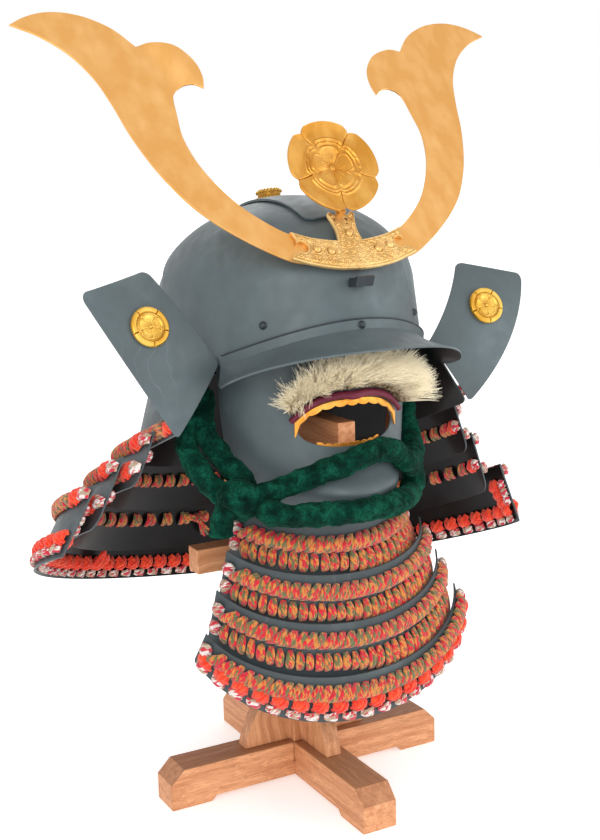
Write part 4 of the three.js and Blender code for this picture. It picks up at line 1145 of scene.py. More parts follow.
class KABUTO_OT_bowl(bpy.types.Operator):
    """Build the bowl, its brow and crown plates, the crown's fitting, the visor and rivets"""

    bl_idname = "kabuto.bowl"
    bl_label = "Build Bowl"

    def execute(self, context):
        iron = ("grey_iron_finish", "black_lacquer_finish")

        def wall(lift):
            return lambda u, v: BOWL_FRAME @ bowl_point(u * 2 * math.pi,
                                                        bowl_along(v, -BOWL_WALL, DOME_END),
                                                        lift)

        form = Form()
        form.shell(wall(0), wall(-2.5), 120, 40, True, 1)
        make_piece("helmet_bowl", form, iron, ("bowl",), 0.4)

        form = Form()
        form.shell(brow_surface(BROW_LIFT + BROW_THICKNESS), brow_surface(BROW_LIFT), 150, 70,
                   back_slot=1)
        make_piece("forehead_plate", form, iron, ("brow_plate",), 0.6)

        form = Form()
        form.shell(crown_surface(CROWN_LIFT + CROWN_THICKNESS), crown_surface(CROWN_LIFT), 20,
                   64, back_slot=1)
        crown = make_piece("crest_band_plate", form, iron, ("crown_plate",))
        self.open_crown(crown)

        def cornered(surface):
            def place(u, v):
                q = max(0.0, 1 - min(u, 1 - u) / VISOR_CORNER)
                return surface(u, v * (1 - VISOR_CORNER_DEPTH * (1 - math.sqrt(1 - q * q))))
            return place

        form = Form()
        us = [0.5 - 0.5 * math.cos(math.pi * i / 110) for i in range(111)]
        brim = lifted(visor_surface, VISOR_THICKNESS, UNDER_BOWL)
        form.shell(cornered(brim), cornered(visor_surface), us, 36, back_slot=1)
        make_piece("brim", form, iron, ("visor",), 0.5)
        self.seam_shadows()
        self.crown_fitting()
        self.rivets()
        return {"FINISHED"}

    def seam_shadows(self):
        """Painted shadow: dark tubes over the visor's flange and behind the brow plate's side
        edges, where the open seams' shadows fall.
        """
        over = lifted(visor_surface, VISOR_THICKNESS - 0.1, UNDER_BOWL)
        behind = brow_surface(BROW_LIFT + 0.5)
        form = Form()
        form.tube([over(mix(0.01, 0.99, k / 80), 0.0) for k in range(81)], 0.75, 8)
        for u in (0.0, 1.0):
            form.tube([behind(u, mix(0.02, 0.98, k / 60)) for k in range(61)], 1.5, 8)
        make_piece("seam_shadow_lines", form, ("black_iron_finish",), sharp=180)

    def open_crown(self, crown):
        """Cuts the crown plate's hole round the fitting."""
        form = Form()
        form.tube([BOWL_FRAME @ Vector((0, 0, z)) for z in (60, 80, 100, 120)], 14, 40)
        drill = make_piece("drill", form, ("grey_iron_finish",))
        hole = crown.modifiers.new("hole", "BOOLEAN")
        hole.object, hole.operation, hole.solver = drill, "DIFFERENCE", "EXACT"
        cut = bpy.data.meshes.new_from_object(
            crown.evaluated_get(bpy.context.evaluated_depsgraph_get()))
        crown.modifiers.clear()
        crown.data = cut
        bpy.data.objects.remove(drill)
        round_edges(crown, 0.5, harden=False)

    def crown_fitting(self):
        """The collar round the crown's hole: stepped rings with rope edges."""
        form = Form()
        foot = BOWL_DOME + 0.9
        rows = [[form.point(BOWL_FRAME @ Vector((r * math.cos(a), r * math.sin(a), foot + z)))
                 for a in full_turn(72)] for r, z in COLLAR_PROFILE]
        form.bands([*rows, rows[0]])
        for count, reach, height, size in ROPE_EDGES:
            for a in full_turn(count):
                middle = Vector((reach * math.cos(a), reach * math.sin(a), foot + height))
                turn = Vector((-math.sin(a), math.cos(a), 0)) + Vector((0, 0, 0.7))
                turn.normalize()
                path = [BOWL_FRAME @ (middle + turn * size * s) for s in (-1, -0.6, 0, 0.6, 1)]
                form.tube(path, lambda s, size=size: size * math.sqrt(
                    max(0.02, 1 - (2 * s - 1) ** 2)), 8)
        make_piece("crown_collar", form, ("aged_brass_finish",),
                   ("crown_fitting",), hollow=1.6)

    def rivets(self):
        """Domed rivets, each on a thin washer."""
        for name, angle, along, face in RIVETS:
            form = Form()
            foot = BOWL_FRAME @ bowl_point(angle * DEG, along, face + 0.3)
            out = (BOWL_FRAME @ bowl_point(angle * DEG, along, face + 10) - foot).normalized()
            side = out.orthogonal().normalized()
            up = out.cross(side)
            rows = [[form.point(foot + out * h + (side * math.cos(a) + up * math.sin(a)) * r)
                     for a in full_turn(24)] for r, h in RIVET_PROFILE]
            form.bands(rows)
            form.face(*rows[0])
            form.face(*rows[-1])
            make_piece(name + "_head", form, ("black_iron_finish",), (name,),
                       sharp=60)


class KABUTO_OT_horns(bpy.types.Operator):
    """Build the two gilt horns, the left one with its lobe bent forward"""

    bl_idname = "kabuto.horns"
    bl_label = "Build Horns"

    def execute(self, context):
        outline = []
        for row in (HORN_OUTER, HORN_TOP, HORN_LOBE, HORN_HOOK, HORN_INNER,
                    (HORN_INNER[-1], HORN_OUTER[0])):
            outline += flat_curve(row, 2.6)[:-1]
        for name, side, bend in (("left", -1, 9), ("right", 1, 0)):
            def place(x, z, layer, rim, side=side, bend=bend):
                wave = 0.35 * rough((x, z, side * 50), 60, 2)
                return CREST_FRAME @ Vector((side * x, 0.3 + 1.8 * layer + wave
                                             - self.lobe_bend(x, z, bend), z))

            form = Form()
            form.plate(outline, [], 4.0, place)
            make_piece("kuwagata_" + name, form, ("gilt_plate_finish",),
                       ("horn_" + name,), 0.35)
        return {"FINISHED"}

    def lobe_bend(self, x, z, bend):
        """How far forward a horn is at a point beyond the line on which its lobe bends."""
        if not bend or z < 153:
            return 0.0
        (x0, z0), (x1, z1) = (112, 154), HORN_LOBE[0]
        dx, dz = x1 - x0, z1 - z0
        beyond = ((z - z0) * dx - (x - x0) * dz) / math.hypot(dx, dz)
        return bend * smooth(0, 30, beyond)


class KABUTO_OT_crest_plate(bpy.types.Operator):
    """Build the cast crescent over the horns' feet, with its scrolls, bosses and stem"""

    bl_idname = "kabuto.crest_plate"
    bl_label = "Build Crest Plate"

    def execute(self, context):
        outline, holes = self.outline()
        scrolls = self.scrolls()

        def place(x, z, layer, rim):
            if layer:
                return CREST_FRAME @ Vector((x, 0, z))
            height = 0.75 * (1 - smooth(1.0, 1.7, rim)) * smooth(0, 0.35, rim)
            near = min(math.hypot(x - bx, z - bz) - r for bx, bz, r in CREST_BOSSES)
            if near < 1.6:
                height = max(height, 0.6 * ridge(near, 0.8, 0.45))
            elif rim > 1.5:
                height = max(height, self.scroll_height(x, z, scrolls))
            for bx, bz, r in CREST_BOSSES:
                d = math.hypot(x - bx, z - bz)
                if d < r:
                    height = 0.2 + 2.6 * math.sqrt(max(0.0, 1 - (d / r) ** 2))
            return CREST_FRAME @ Vector((x, -2.5 - 1.1 * smooth(0.2, 3.5, rim) - height, z))

        form = Form()
        form.plate(outline, holes, 0.62, place)
        make_piece("cast_crest_plate", form, ("gilt_relief_finish",),
                   ("crest_plate",), hollow=1.5)
        form = Form()
        tongue = flat_curve(TONGUE, 0.8)[:-1]
        hook = [point for row in TONGUE_HOLE for point in arc(*row)]

        def behind(x, z, layer, rim):
            return CREST_FRAME @ Vector((x, -1.2 if layer else -2.9 - 0.4 * smooth(0, 1, rim), z))

        form.plate(tongue, [hook], 0.7, behind)
        make_piece("crest_tongue", form, ("gilt_relief_finish",))
        finish_piece("crest_hook", packed_mesh("crest_bracket"),
                     ("black_iron_finish",), ("crest_bracket",), 0.5)
        return {"FINISHED"}

    def outline(self):
        """The crescent with its bitten ends and forked stem, and the holes through it."""
        bottom, top = flat_curve(CREST_BOTTOM, 1.0), flat_curve(CREST_TOP, 1.0)
        end, lip = flat_curve(CREST_END, 0.9), flat_curve(CREST_LIP, 0.9)
        stem = flat_curve(CREST_STEM, 0.8)
        half = [*bottom[:-1], *end[:-1], *arc(*CREST_BITE), *lip[:-1], *top[:-1], *stem[:-1],
                *arc(*CREST_NECK)]
        spaced = [half[0]]
        for p in half[1:]:
            if math.dist(p, spaced[-1]) > 0.35:
                spaced.append(p)
        mirrored = [(-x, z) for x, z in reversed(spaced) if abs(x) > 0.2]
        holes = [[(side * x, z) for x, z in arc(*CREST_HOLE)[:-1]] for side in (-1, 1)]
        return spaced + mirrored, holes

    def scrolls(self):
        """Centres, sizes and turning of the scrolls that fill the crescent and stem."""
        chooser = random.Random(11)
        made = []
        for s in (-1, 1):
            for x in range(3, 58, 7):
                low = -27.5 + (x / 60) ** 2 * 12
                high = -2 + max(0, x - 12) * 0.27
                count = 3 if x < 46 else 2
                for k in range(count):
                    z = mix(low, high, (k + 0.5) / count) + chooser.uniform(-0.8, 0.8)
                    made.append((s * (x + chooser.uniform(-0.8, 0.8)), z,
                                 chooser.uniform(3.6, 4.8), s * (1 if k % 2 else -1),
                                 chooser.uniform(0, 6.28)))
            for z in (1, 8, 14, 20, 25):
                made.append((s * 7.4, z, 3.8, s, chooser.uniform(0, 6.28)))
        return made

    def scroll_height(self, x, z, scrolls):
        """The relief at a point: spiral tendrils over a punched ground."""
        best = 0.0
        for cx, cz, size, hand, start in scrolls:
            r = math.hypot(x - cx, z - cz)
            if r > size:
                continue
            angle = (math.atan2(z - cz, x - cx) * hand + start) / (2 * math.pi)
            turn = (r / 1.75 - angle) % 1.0
            best = max(best, ridge(turn, 0.5, 0.2) * (0.55 + 0.35 * (1 - r / size)))
        punch = 0.16 * math.sin(x * 4.1) * math.sin(z * 4.1)
        return best * 0.95 + (punch if best < 0.2 else 0)


def packed_mesh(name):
    """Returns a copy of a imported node's mesh, with the values that the finishes read."""
    mesh = bpy.data.meshes.new_from_object(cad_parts[name])
    for key, kind in (("local", "FLOAT_VECTOR"), ("mark", "FLOAT")):
        if key not in mesh.attributes:
            mesh.attributes.new(key, kind, "POINT")
    joined = bmesh.new()
    joined.from_mesh(mesh)
    bmesh.ops.remove_doubles(joined, verts=joined.verts, dist=1e-6)
    flat = [e for e in joined.edges if len(e.link_faces) == 2 and e.calc_face_angle(0) < 0.5 * DEG]
    bmesh.ops.dissolve_edges(joined, edges=flat, use_verts=False)
    joined.to_mesh(mesh)
    joined.free()
    return mesh


class KABUTO_OT_rosettes(bpy.types.Operator):
    """Build the crest's five-petal rosette and the small ones on the ears"""

    bl_idname = "kabuto.rosettes"
    bl_label = "Build Rosettes"

    def execute(self, context):
        form = Form()
        form.disc(ROSETTE_FRAME, self.crest_height, ROSETTE_RADIUS, self.shares(0.03, 120),
                  480, 4.5, lambda a: mix(0.9, 1.0, min(1.0, lobes_of(a) * 2.4) ** 0.7))
        lug = [ROSETTE_FRAME @ Vector((0, 2.6, z - ROSETTE_RADIUS)) for z in (3, 7, 14, 20)]
        form.tube(lug, 3.2, 16)
        make_piece("crest_flower", form, ("gilt_rosette_finish",),
                   ("crest_rosette",), hollow=1.1)
        for name, side in SIDES:
            surface = ear_surface(side)
            centre = lifted(surface, 0.8, Vector((side * 160, 900, 430)))(*DISC_PLACE)
            out = (centre - surface(*DISC_PLACE)).normalized()
            turn = Vector((0, -1, 0)).rotation_difference(out).to_matrix().to_4x4()
            form = Form()
            form.disc(Matrix.Translation(centre) @ turn, self.disc_height, DISC_RADIUS,
                      self.shares(0.04, 64), 240)
            make_piece("ear_flower_" + name, form, ("gilt_disc_finish",),
                       ("ear_disc_" + name,), hollow=1.3)
        return {"FINISHED"}

    def shares(self, first, count):
        """The shares of a rosette's radius at which its rings of points stand."""
        return [mix(first, 1.0, i / count) for i in range(count + 1)]

    def flower(self, r, angle, scale):
        """The inner flower: five cupped petals with raised edges, and rays of stamens."""
        lobe = lobes_of(angle)
        edge = mix(0.3, 0.45, min(1.0, lobe * 1.5) ** 0.6)
        rim = ridge(r, edge, 0.022)
        seam = ridge(lobe * r, 0, 1 / 6.5) if 0.06 < r < 0.4 else 0
        ray = abs(math.sin((angle + math.pi / 2) * 7.5))
        stamens = (1 - smooth(0.2, 0.27, r)) * smooth(0.04, 0.08, r) * (
            1 - smooth(0.1, 0.35, ray)) * 0.6
        dots = ridge(r, 0.25, 0.02) * (1 - smooth(0.1, 0.4, ray))
        hub = 1 - smooth(0.03, 0.07, r)
        cup = -0.5 * smooth(0.1, 0.2, r) * (1 - smooth(0.3, 0.42, r)) * lobe
        return scale * (0.8 * rim - 0.5 * seam + stamens + 0.5 * dots + 0.8 * hub + cup)

    def crest_height(self, r, angle):
        """Height of the crest rosette's face at a share of its radius and an angle."""
        lobe = lobes_of(angle)
        height = 5 * r * r + 2.4 + 1.0 * smooth(0.1, 0.2, r) * (1 - smooth(0.44, 0.5, r)) * lobe
        height += self.flower(r, angle, 0.8)
        height += 1.1 * ridge(r, 0.62, 0.022) + 0.8 * ridge(r, 0.54, 0.016)
        if 0.545 < r < 0.605:
            height += 0.35 * max(0.0, math.sin(angle * 20 + 14 * r))
        height -= 1.5 * (1 - lobe) * smooth(0.66, 0.85, r)
        away = lobe / 2.5 * r * ROSETTE_RADIUS
        if r > 0.6:
            height -= ridge(away, 0, 0.42)
        height += 0.1 * rough((r * 3 * math.cos(angle), r * 3 * math.sin(angle), 0), 1.0, 4)
        return height - 1.2 * smooth(0.985, 1.0, r)

    def disc_height(self, r, angle):
        """Height of an ear's rosette."""
        lobe = lobes_of(angle)
        height = 1.7 + self.flower(r / 1.36, angle, 0.75)
        height += 1.3 * smooth(0.72, 0.78, r) * (1 - 0.5 * smooth(0.9, 1.0, r))
        height += 0.7 * ridge(r, 0.67, 0.02)
        away = lobe / 2.5 * r * DISC_RADIUS
        if r > 0.7:
            height -= 1.4 * ridge(away, 0, 0.4)
        return height - 1.0 * smooth(0.96, 1.0, r)


class KABUTO_OT_ears(bpy.types.Operator):
    """Build the two turned-out ears"""

    bl_idname = "kabuto.ears"
    bl_label = "Build Ears"

    def execute(self, context):
        for name, side in SIDES:
            surface = ear_surface(side)
            back = lifted(surface, EAR_THICKNESS, Vector((side * 160, -900, 430)))

            def place(x, y, layer, rim, layers=(surface, back)):
                return layers[layer](x / EAR_SHEET_WIDTH, y / EAR_SHEET_HEIGHT)

            form = Form()
            form.plate(self.outline(), [], 3.2, place)
            make_piece("fukigaeshi_" + name, form, ("grey_iron_finish",),
                       ("ear_" + name,), 0.55)
        return {"FINISHED"}

    def outline(self):
        """An ear's flat outline, its upper corners rounded more than the lower ones."""
        made = []
        high, low, width, height = 7, 4, EAR_SHEET_WIDTH, EAR_SHEET_HEIGHT
        for cx, cy, r, start in ((high, high, high, 180), (width - high, high, high, 270),
                                 (width - low, height - low, low, 0),
                                 (low, height - low, low, 90)):
            made += arc((cx, cy), r, r, start, start + 90, 9)
        return cut_sides(made, 3)


def rounded_plate(surface, inside, length, height, corner, across, up):
    """A curved plate whose lower front corners are rounded, dark on its inner side."""
    reach_u, reach_v = corner / length, corner / height

    def low_edge(u):
        side = min(u, 1 - u)
        if side >= reach_u:
            return 1.0
        q = 1 - side / reach_u
        return 1 - reach_v * (1 - math.sqrt(max(0.0, 1 - q * q)))

    def shaped(u, v):
        return surface(u, v * low_edge(u))

    inner = lifted(surface, -LAME_THICKNESS, inside)
    ends = [reach_u * (1 - math.cos(math.pi / 2 * k / 8)) for k in range(8)]
    middle = [mix(reach_u, 1 - reach_u, k / across) for k in range(across + 1)]
    us = [*ends, *middle, *[1 - e for e in reversed(ends)]]
    form = Form()
    form.shell(shaped, lambda u, v: inner(u, v * low_edge(u)), us, up, back_slot=1)
    return form


LAME_INSIDE = Vector((0, 20, 200))
THROAT_INSIDE = Vector((0, 0, 190))


def tucked(surface):
    """The uppermost throat plate, whose top goes up behind the mask, most at the right."""
    return lambda u, v: surface(u, v - (0.24 + 0.2 * smooth(0.35, 0.9, u)) * (1 - v))


class KABUTO_OT_plates(bpy.types.Operator):
    """Build the neck guard's four lames and the throat guard's four plates"""

    bl_idname = "kabuto.plates"
    bl_label = "Build Laced Plates"

    def execute(self, context):
        finishes = ("lame_iron_finish", "black_lacquer_finish")
        for number, lame in enumerate(LAMES, 1):
            height = lame["top"][3] - lame["low"][3] + 10
            form = rounded_plate(lame_surface(lame), LAME_INSIDE, lame["low"][0] * 3.6,
                                 height, lame["corner"], 110, 12)
            make_piece(f"neck_plate_{number}", form, finishes,
                       (f"lame_{number}",), 0.5)
        for number, plate in enumerate(THROAT, 1):
            surface = throat_surface(plate)
            form = rounded_plate(tucked(surface) if number == 1 else surface, THROAT_INSIDE,
                                 plate[1][0] * 3, plate[0][2] - plate[1][2] + 8,
                                 THROAT_CORNER, 84, 10)
            make_piece(f"throat_plate_{number}", form, finishes,
                       (f"throat_{number}",), 0.5)
        return {"FINISHED"}


# ---------------------------------------------------------------------------------------
# Lacing


class Row:
    """A row of lacing on a plate, on its outer side or, where out is -1, its inner one."""

    def __init__(self, surface, inside, middle, out=1):
        self.surface, self.inside, self.middle, self.out = surface, inside, middle, out
        self.us = [k / 120 for k in range(121)]
        line = [surface(u, middle) for u in self.us]
        self.lengths = [0.0]
        for a, b in zip(line, line[1:]):
            self.lengths.append(self.lengths[-1] + (b - a).length)
        self.length = self.lengths[-1]

    def at(self, along, down, height):
        """Returns the point that far along the row, below its middle and off the plate."""
        u = float(np.interp(along, self.lengths, self.us))
        tall = (self.surface(u, 1) - self.surface(u, 0)).length
        p, normal = point_and_normal(self.surface, u, self.middle + down / tall, 2e-3,
                                     self.inside)
        return p + normal * self.out * (height + (0 if self.out > 0 else LAME_THICKNESS))


def lay_bundle(form, row, along, paths, radius, chooser, slot=0, sides=6):
    """Lays strands on a row, each along its own path of (along, down, height)."""
    def thickness(s):
        return radius * (0.55 + 0.45 * math.sin(math.pi * min(max(s, 0.08), 0.92)) ** 0.5)

    for path in paths:
        points = [row.at(along + a, b, c) for a, b, c in path]
        form.tube(points, thickness, sides, mark=chooser.random(), slot=slot,
                  start=chooser.uniform(0, 90))


def lay_wrap(form, row, along, width, height, lift, chooser, slant=0.0, strands=3, drop=0.0):
    """Lays one wrap of yarn: a bundle that rises from the plate, arches over and returns."""
    paths = []
    width *= chooser.uniform(0.92, 1.08)
    height *= chooser.uniform(0.94, 1.06)
    for j in range(strands):
        side = (j + 0.5) / strands * 2 - 1
        path = []
        for i in range(8):
            s = i / 7
            swell = math.sin(math.pi * s) ** 0.6
            path.append((side * width / 2 * (0.35 + 0.45 * swell) + slant * (s - 0.5) * height
                         + chooser.uniform(-0.2, 0.2), (s - 0.5) * height + drop,
                         lift * swell * (1 - 0.22 * side * side) + 0.9))
        paths.append(path)
    lay_bundle(form, row, along, paths, width / strands * 0.72, chooser)


def lay_rope_turn(form, row, along, pitch, height, lift, chooser):
    """Lays one turn of the twisted rope: a fat slanted bundle that tucks under the next."""
    lay_wrap(form, row, along, pitch * 0.98, height, lift, chooser, -1.1, 2)


def lay_knot(form, row, along, size, lift, chooser, slot=1):
    """Lays a crossed knot: two loops over each other with full corners."""
    half = size / 2
    for turn, high in ((1, 0.0), (-1, 1.3)):
        for side in (-0.5, 0.5):
            path = []
            for i in range(8):
                s = i / 7 * 2 - 1
                swell = math.cos(s * math.pi / 2) ** 0.5
                path.append((s * half * 0.84 + side * 2.6,
                             turn * (s * half * 0.84 - side * 2.2),
                             lift * swell + high * ridge(s, 0, 0.45) + 0.8))
            lay_bundle(form, row, along, [path], size * 0.17, chooser, slot, 7)
    for side in (-1, 1):
        path = []
        for i in range(8):
            angle = mix(-68, 68, i / 7) * DEG
            path.append((side * half * 0.9 * math.cos(angle), half * 0.86 * math.sin(angle),
                         lift * 0.62 * math.cos(angle) ** 0.4 + 0.7))
        lay_bundle(form, row, along, [path], size * 0.15, chooser, slot, 7)


def lay_edge_knot(form, row, along, width, height, lift, chooser):
    """Lays a small oval knot of striped yarn, wound sideways."""
    paths = []
    for j in range(3):
        side = j - 1
        path = []
        for i in range(8):
            s = i / 7
            swell = math.sin(math.pi * s) ** 0.55
            path.append(((s - 0.5) * width * 0.9,
                         side * height * 0.3 * (0.4 + 0.6 * swell) + 0.8 * math.sin(s * 6 + j),
                         lift * swell * (1 - 0.2 * side * side) + 1.0))
        paths.append(path)
    lay_bundle(form, row, along, paths, height * 0.24, chooser, 2)


def lay_ends(form, row, pieces, chooser):
    """Lays pieces at both ends of a row, each at its distance from the end and in its size."""
    for end, sign in ((0.0, 1), (row.length, -1)):
        for lay, distance, *size in pieces:
            lay(form, row, end + sign * distance, *size, chooser)


def lace_row(form, row, kind, rooms, heights, sizes, chooser, ends, grow=0.0):
    """Fills a row with turns of its kind, up to the room at its ends.

    Ropes and wraps have knots at their ends, and wraps grow towards the right end.
    """
    knotted = kind in ("rope", "wraps")
    if knotted:
        lay_ends(form, row, ends, chooser)
    rope, wrap, knot = (1000 * value for value in (sizes.rope_pitch, sizes.wrap_pitch,
                                                   sizes.knot_pitch))
    pitch = {"rope": rope, "wraps": wrap, "knots": knot, "edge": knot}[kind]
    tall, start = heights[kind], rooms[0 if knotted else 1]
    end = row.length - start
    count = max(1, round((end - start) / pitch))
    step = (end - start) / count
    for place in even_places(start, end, count):
        along = place + chooser.uniform(-0.5, 0.5)
        if kind == "rope":
            lay_rope_turn(form, row, along, step, tall, ROPE_LIFT, chooser)
        elif kind == "wraps":
            more = grow * smooth(0.4, 0.95, along / row.length)
            lay_wrap(form, row, along, step * 0.95, tall + more, WRAP_LIFT, chooser,
                     drop=more / 2)
        elif kind == "knots":
            lay_knot(form, row, along, min(step * 0.7, LARGEST_KNOT), WRAP_LIFT, chooser)
        else:
            lay_edge_knot(form, row, along, min(step * 0.72, LARGEST_EDGE), min(tall, 8),
                          EDGE_LIFT, chooser)


def inner_row(number, middle):
    """Returns a row on the inner side of a lame."""
    return Row(lame_surface(LAMES[number - 1]), LAME_INSIDE, middle, -1)


class KABUTO_OT_neck_lacing(bpy.types.Operator):
    """Lay the neck guard's lacing on both sides of its lames"""

    bl_idname = "kabuto.neck_lacing"
    bl_label = "Lay Neck Lacing"

    def execute(self, context):
        ends = ((lay_edge_knot, 6.5, 12, 12, 5), (lay_knot, 20, 15, 5))
        for number, name, low, high, kind in LAME_ROWS:
            chooser = random.Random(number * 10 + len(name))
            row = Row(lame_surface(LAMES[number - 1]), LAME_INSIDE, (low + high) / 2)
            form = Form()
            lace_row(form, row, kind, LAME_ROOM, LAME_HEIGHTS, context.scene.kabuto_sizes,
                     chooser, ends)
            make_piece(f"neck_lacing_{number}_{name}", form, YARNS,
                       (f"lame_{number}_lacing_{name}",), sharp=80)
        self.inside()
        return {"FINISHED"}

    def inside(self):
        """The lacing that shows on the lames' inner sides: pairs of wraps and the knots."""
        form = Form()
        chooser = random.Random(77)
        for number, middle, pitch in INNER_WRAPS:
            row = inner_row(number, middle)
            start, end = INNER_ROOM, row.length - INNER_ROOM
            for place in even_places(start, end, round((end - start) / pitch)):
                along = place + chooser.uniform(-1, 1)
                for side in (-3.3, 3.3):
                    lay_wrap(form, row, along + side, 6.4, 12.5, 3.4, chooser,
                             slant=0.12 * math.copysign(1, side))
            lay_ends(form, row, ((lay_knot, 14, 12, 3.5), (lay_edge_knot, 5, 9, 11, 3.5)),
                     chooser)
        self.bow(form, inner_row(BOW_LAME, BOW_MIDDLE), BOW_PLACE, chooser)
        make_piece("neck_lacing_inside", form, YARNS, sharp=80)

        form = Form()
        row = inner_row(4, INNER_KNOTS[0][0])
        for along, fall in HANGING_LOOPS:
            lay_bundle(form, row, along, [[(-3, 5, 3), (-4, -5, 8), (-2, -fall + 3, 10),
                                           (1, -fall, 10), (4, -fall + 4, 9), (4, -4, 8),
                                           (3, 5, 3)]], 2.1, chooser, 1)
        for middle, kind in INNER_KNOTS:
            row = inner_row(4, middle)
            count = round((row.length - 8) / INNER_KNOT_PITCH)
            for along in even_places(5, row.length - 5, count):
                if kind == "knots":
                    lay_knot(form, row, along, LARGEST_KNOT, 4.0, chooser)
                else:
                    lay_edge_knot(form, row, along, 12.5, 8, 3.2, chooser)
        for middle in END_KNOTS:
            distance = 17 + 20 * (END_KNOTS[0] - middle)
            lay_ends(form, inner_row(4, middle), ((lay_knot, distance, LARGEST_KNOT, 4.0),
                     (lay_edge_knot, 6, 9.5, 9.5, 3.2)), chooser)
        make_piece("neck_lacing_inside_knots", form, YARNS, sharp=80)

    def bow(self, form, row, along, chooser):
        """The tied end of the lacing inside the third lame: a crossbar, a knot and tails."""
        for j in range(4):
            shift = chooser.uniform(-0.6, 0.6)
            lay_bundle(form, row, along, [
                [(-17, j - 3.5, 2.5), (-9, 1.6 * j - 4 + shift, 5), (0, j - 2, 7.5),
                 (8, 1.4 * j - 3 - shift, 5.5), (15, j - 3, 2.5)]], 1.5, chooser)
        for reach, fall in ((5, 18), (8, 20), (12, 19), (15, 16), (9, 15)):
            lay_bundle(form, row, along, [
                [(1, 0, 6.5), (2 + reach * 0.3, fall * 0.35, 8),
                 (2 + reach * 0.7, fall * 0.7, 7.5), (3 + reach, fall, 6)]], 1.5, chooser)
        lay_knot(form, row, along + 1, 7, 7.5, chooser, 0)


class KABUTO_OT_throat_lacing(bpy.types.Operator):
    """Lay the throat guard's ropes, wraps and knots"""

    bl_idname = "kabuto.throat_lacing"
    bl_label = "Lay Throat Lacing"

    def execute(self, context):
        for number, name, low, high in THROAT_ROWS:
            chooser = random.Random(number * 17 + len(name))
            row = Row(throat_surface(THROAT[number - 1]), THROAT_INSIDE, (low + high) / 2)
            form = Form()
            lace_row(form, row, name, THROAT_ROOM, THROAT_HEIGHTS, context.scene.kabuto_sizes,
                     chooser, ((lay_edge_knot, 7, 9, 12, 4.4),), THROAT_GROWTH)
            make_piece(f"throat_lacing_{number}_{name}", form, YARNS,
                       (f"throat_{number}_lacing_{name}",), sharp=80)
        return {"FINISHED"}


# ---------------------------------------------------------------------------------------
# The half mask and cord


class KABUTO_OT_mask(bpy.types.Operator):
    """Build the half mask with its lip and gold teeth"""

    bl_idname = "kabuto.mask"
    bl_label = "Build Half Mask"

    def execute(self, context):
        mouth = []
        quads = (((-MOUTH_WIDTH, MOUTH_CORNER), (2 - MOUTH_WIDTH, MOUTH_TOP), (0, MOUTH_TOP)),
                 ((0, MOUTH_TOP), (MOUTH_WIDTH - 2, MOUTH_TOP), (MOUTH_WIDTH, MOUTH_CORNER)),
                 ((MOUTH_WIDTH, MOUTH_CORNER), (MOUTH_WIDTH - 4, MOUTH_LOW), (0, MOUTH_LOW)),
                 ((0, MOUTH_LOW), (4 - MOUTH_WIDTH, MOUTH_LOW), (-MOUTH_WIDTH, MOUTH_CORNER)))
        for a, b, c in quads:
            for k in range(24):
                t = k / 24
                x = a[0] * (1 - t) ** 2 + 2 * b[0] * t * (1 - t) + c[0] * t * t
                z = a[1] * (1 - t) ** 2 + 2 * b[1] * t * (1 - t) + c[1] * t * t
                mouth.append((math.asin(x / mask_row(z)[0]) * MASK_SHEET_RADIUS, z))
        reach = MASK_SWEEP * MASK_SHEET_RADIUS
        low, high = MASK_SECTIONS[0][0], MASK_SECTIONS[-1][0]
        outline = cut_sides(((-reach, low), (reach, low), (reach, high), (-reach, high)), 2.6)
        layers = (mask_point, lifted(mask_point, -MASK_THICKNESS, MASK_INSIDE))

        def place(x, z, layer, rim):
            return layers[layer](x / MASK_SHEET_RADIUS, z)

        form = Form()
        form.plate(outline, [mouth], 3.0, place, back_slot=1)
        make_piece("menpo", form, ("grey_iron_finish", "brown_lacquer_finish"),
                   ("half_mask",), 0.45)
        self.lip()
        self.teeth()
        return {"FINISHED"}

    def lip(self):
        """The lacquered lip: a fuller middle and ends that thin out."""
        def radius(s):
            ends = math.sin(math.pi * min(max(s, 0.03), 0.97)) ** 0.35
            return LIP_RADIUS * (0.5 + 0.5 * ends) * (1 + 0.16 * ridge(s, 0.5, 0.07))

        path = [arch_point(t, LIP_RADIUS + 1 + 0.8 * ridge(t, 0, 0.16), -1.2 * ridge(t, 0, 0.14))
                for t in (mix(-1, 1, k / 60) for k in range(61))]
        form = Form()
        form.tube(path, radius, 20)
        make_piece("lip_roll", form, ("lip_finish",), ("upper_lip",), sharp=70)

    def teeth(self):
        """The two strips of gold teeth, each tooth slightly domed."""
        def tooth_wave(u):
            return abs(math.sin(u * TEETH * math.pi))

        def upper(lift):
            def place(u, v):
                t = (2 * u - 1) * 0.95
                wave = tooth_wave(u)
                reach = 4.0 + 2.0 * wave ** 0.7 + 9 * smooth(0.86, 0.95, abs(t))
                dome = 0.5 * wave * math.sin(math.pi * min(v * 0.9 + 0.1, 1))
                return arch_point(t, lift + 0.8 + (dome if lift else 0),
                                  -LIP_RADIUS - 1 - reach * v)
            return place

        def lower(lift):
            def place(u, v):
                x = (2 * u - 1) * (MOUTH_WIDTH - 15)
                edge = MOUTH_LOW + 2.5 + 3 * abs(2 * u - 1) ** 4
                return over_mask(x, edge + mix(-6, 1.7 * tooth_wave(u) ** 0.7 - 1, v),
                                 lift - MASK_THICKNESS - TEETH_THICKNESS - 0.9)
            return place

        for name, row, across, up in (("upper", upper, 216, 10), ("lower", lower, 162, 8)):
            form = Form()
            form.shell(row(TEETH_THICKNESS), row(0), across, up)
            make_piece(name + "_tooth_strip", form, ("gilt_teeth_finish",),
                       (name + "_teeth",), 0.25, hollow=0.8)


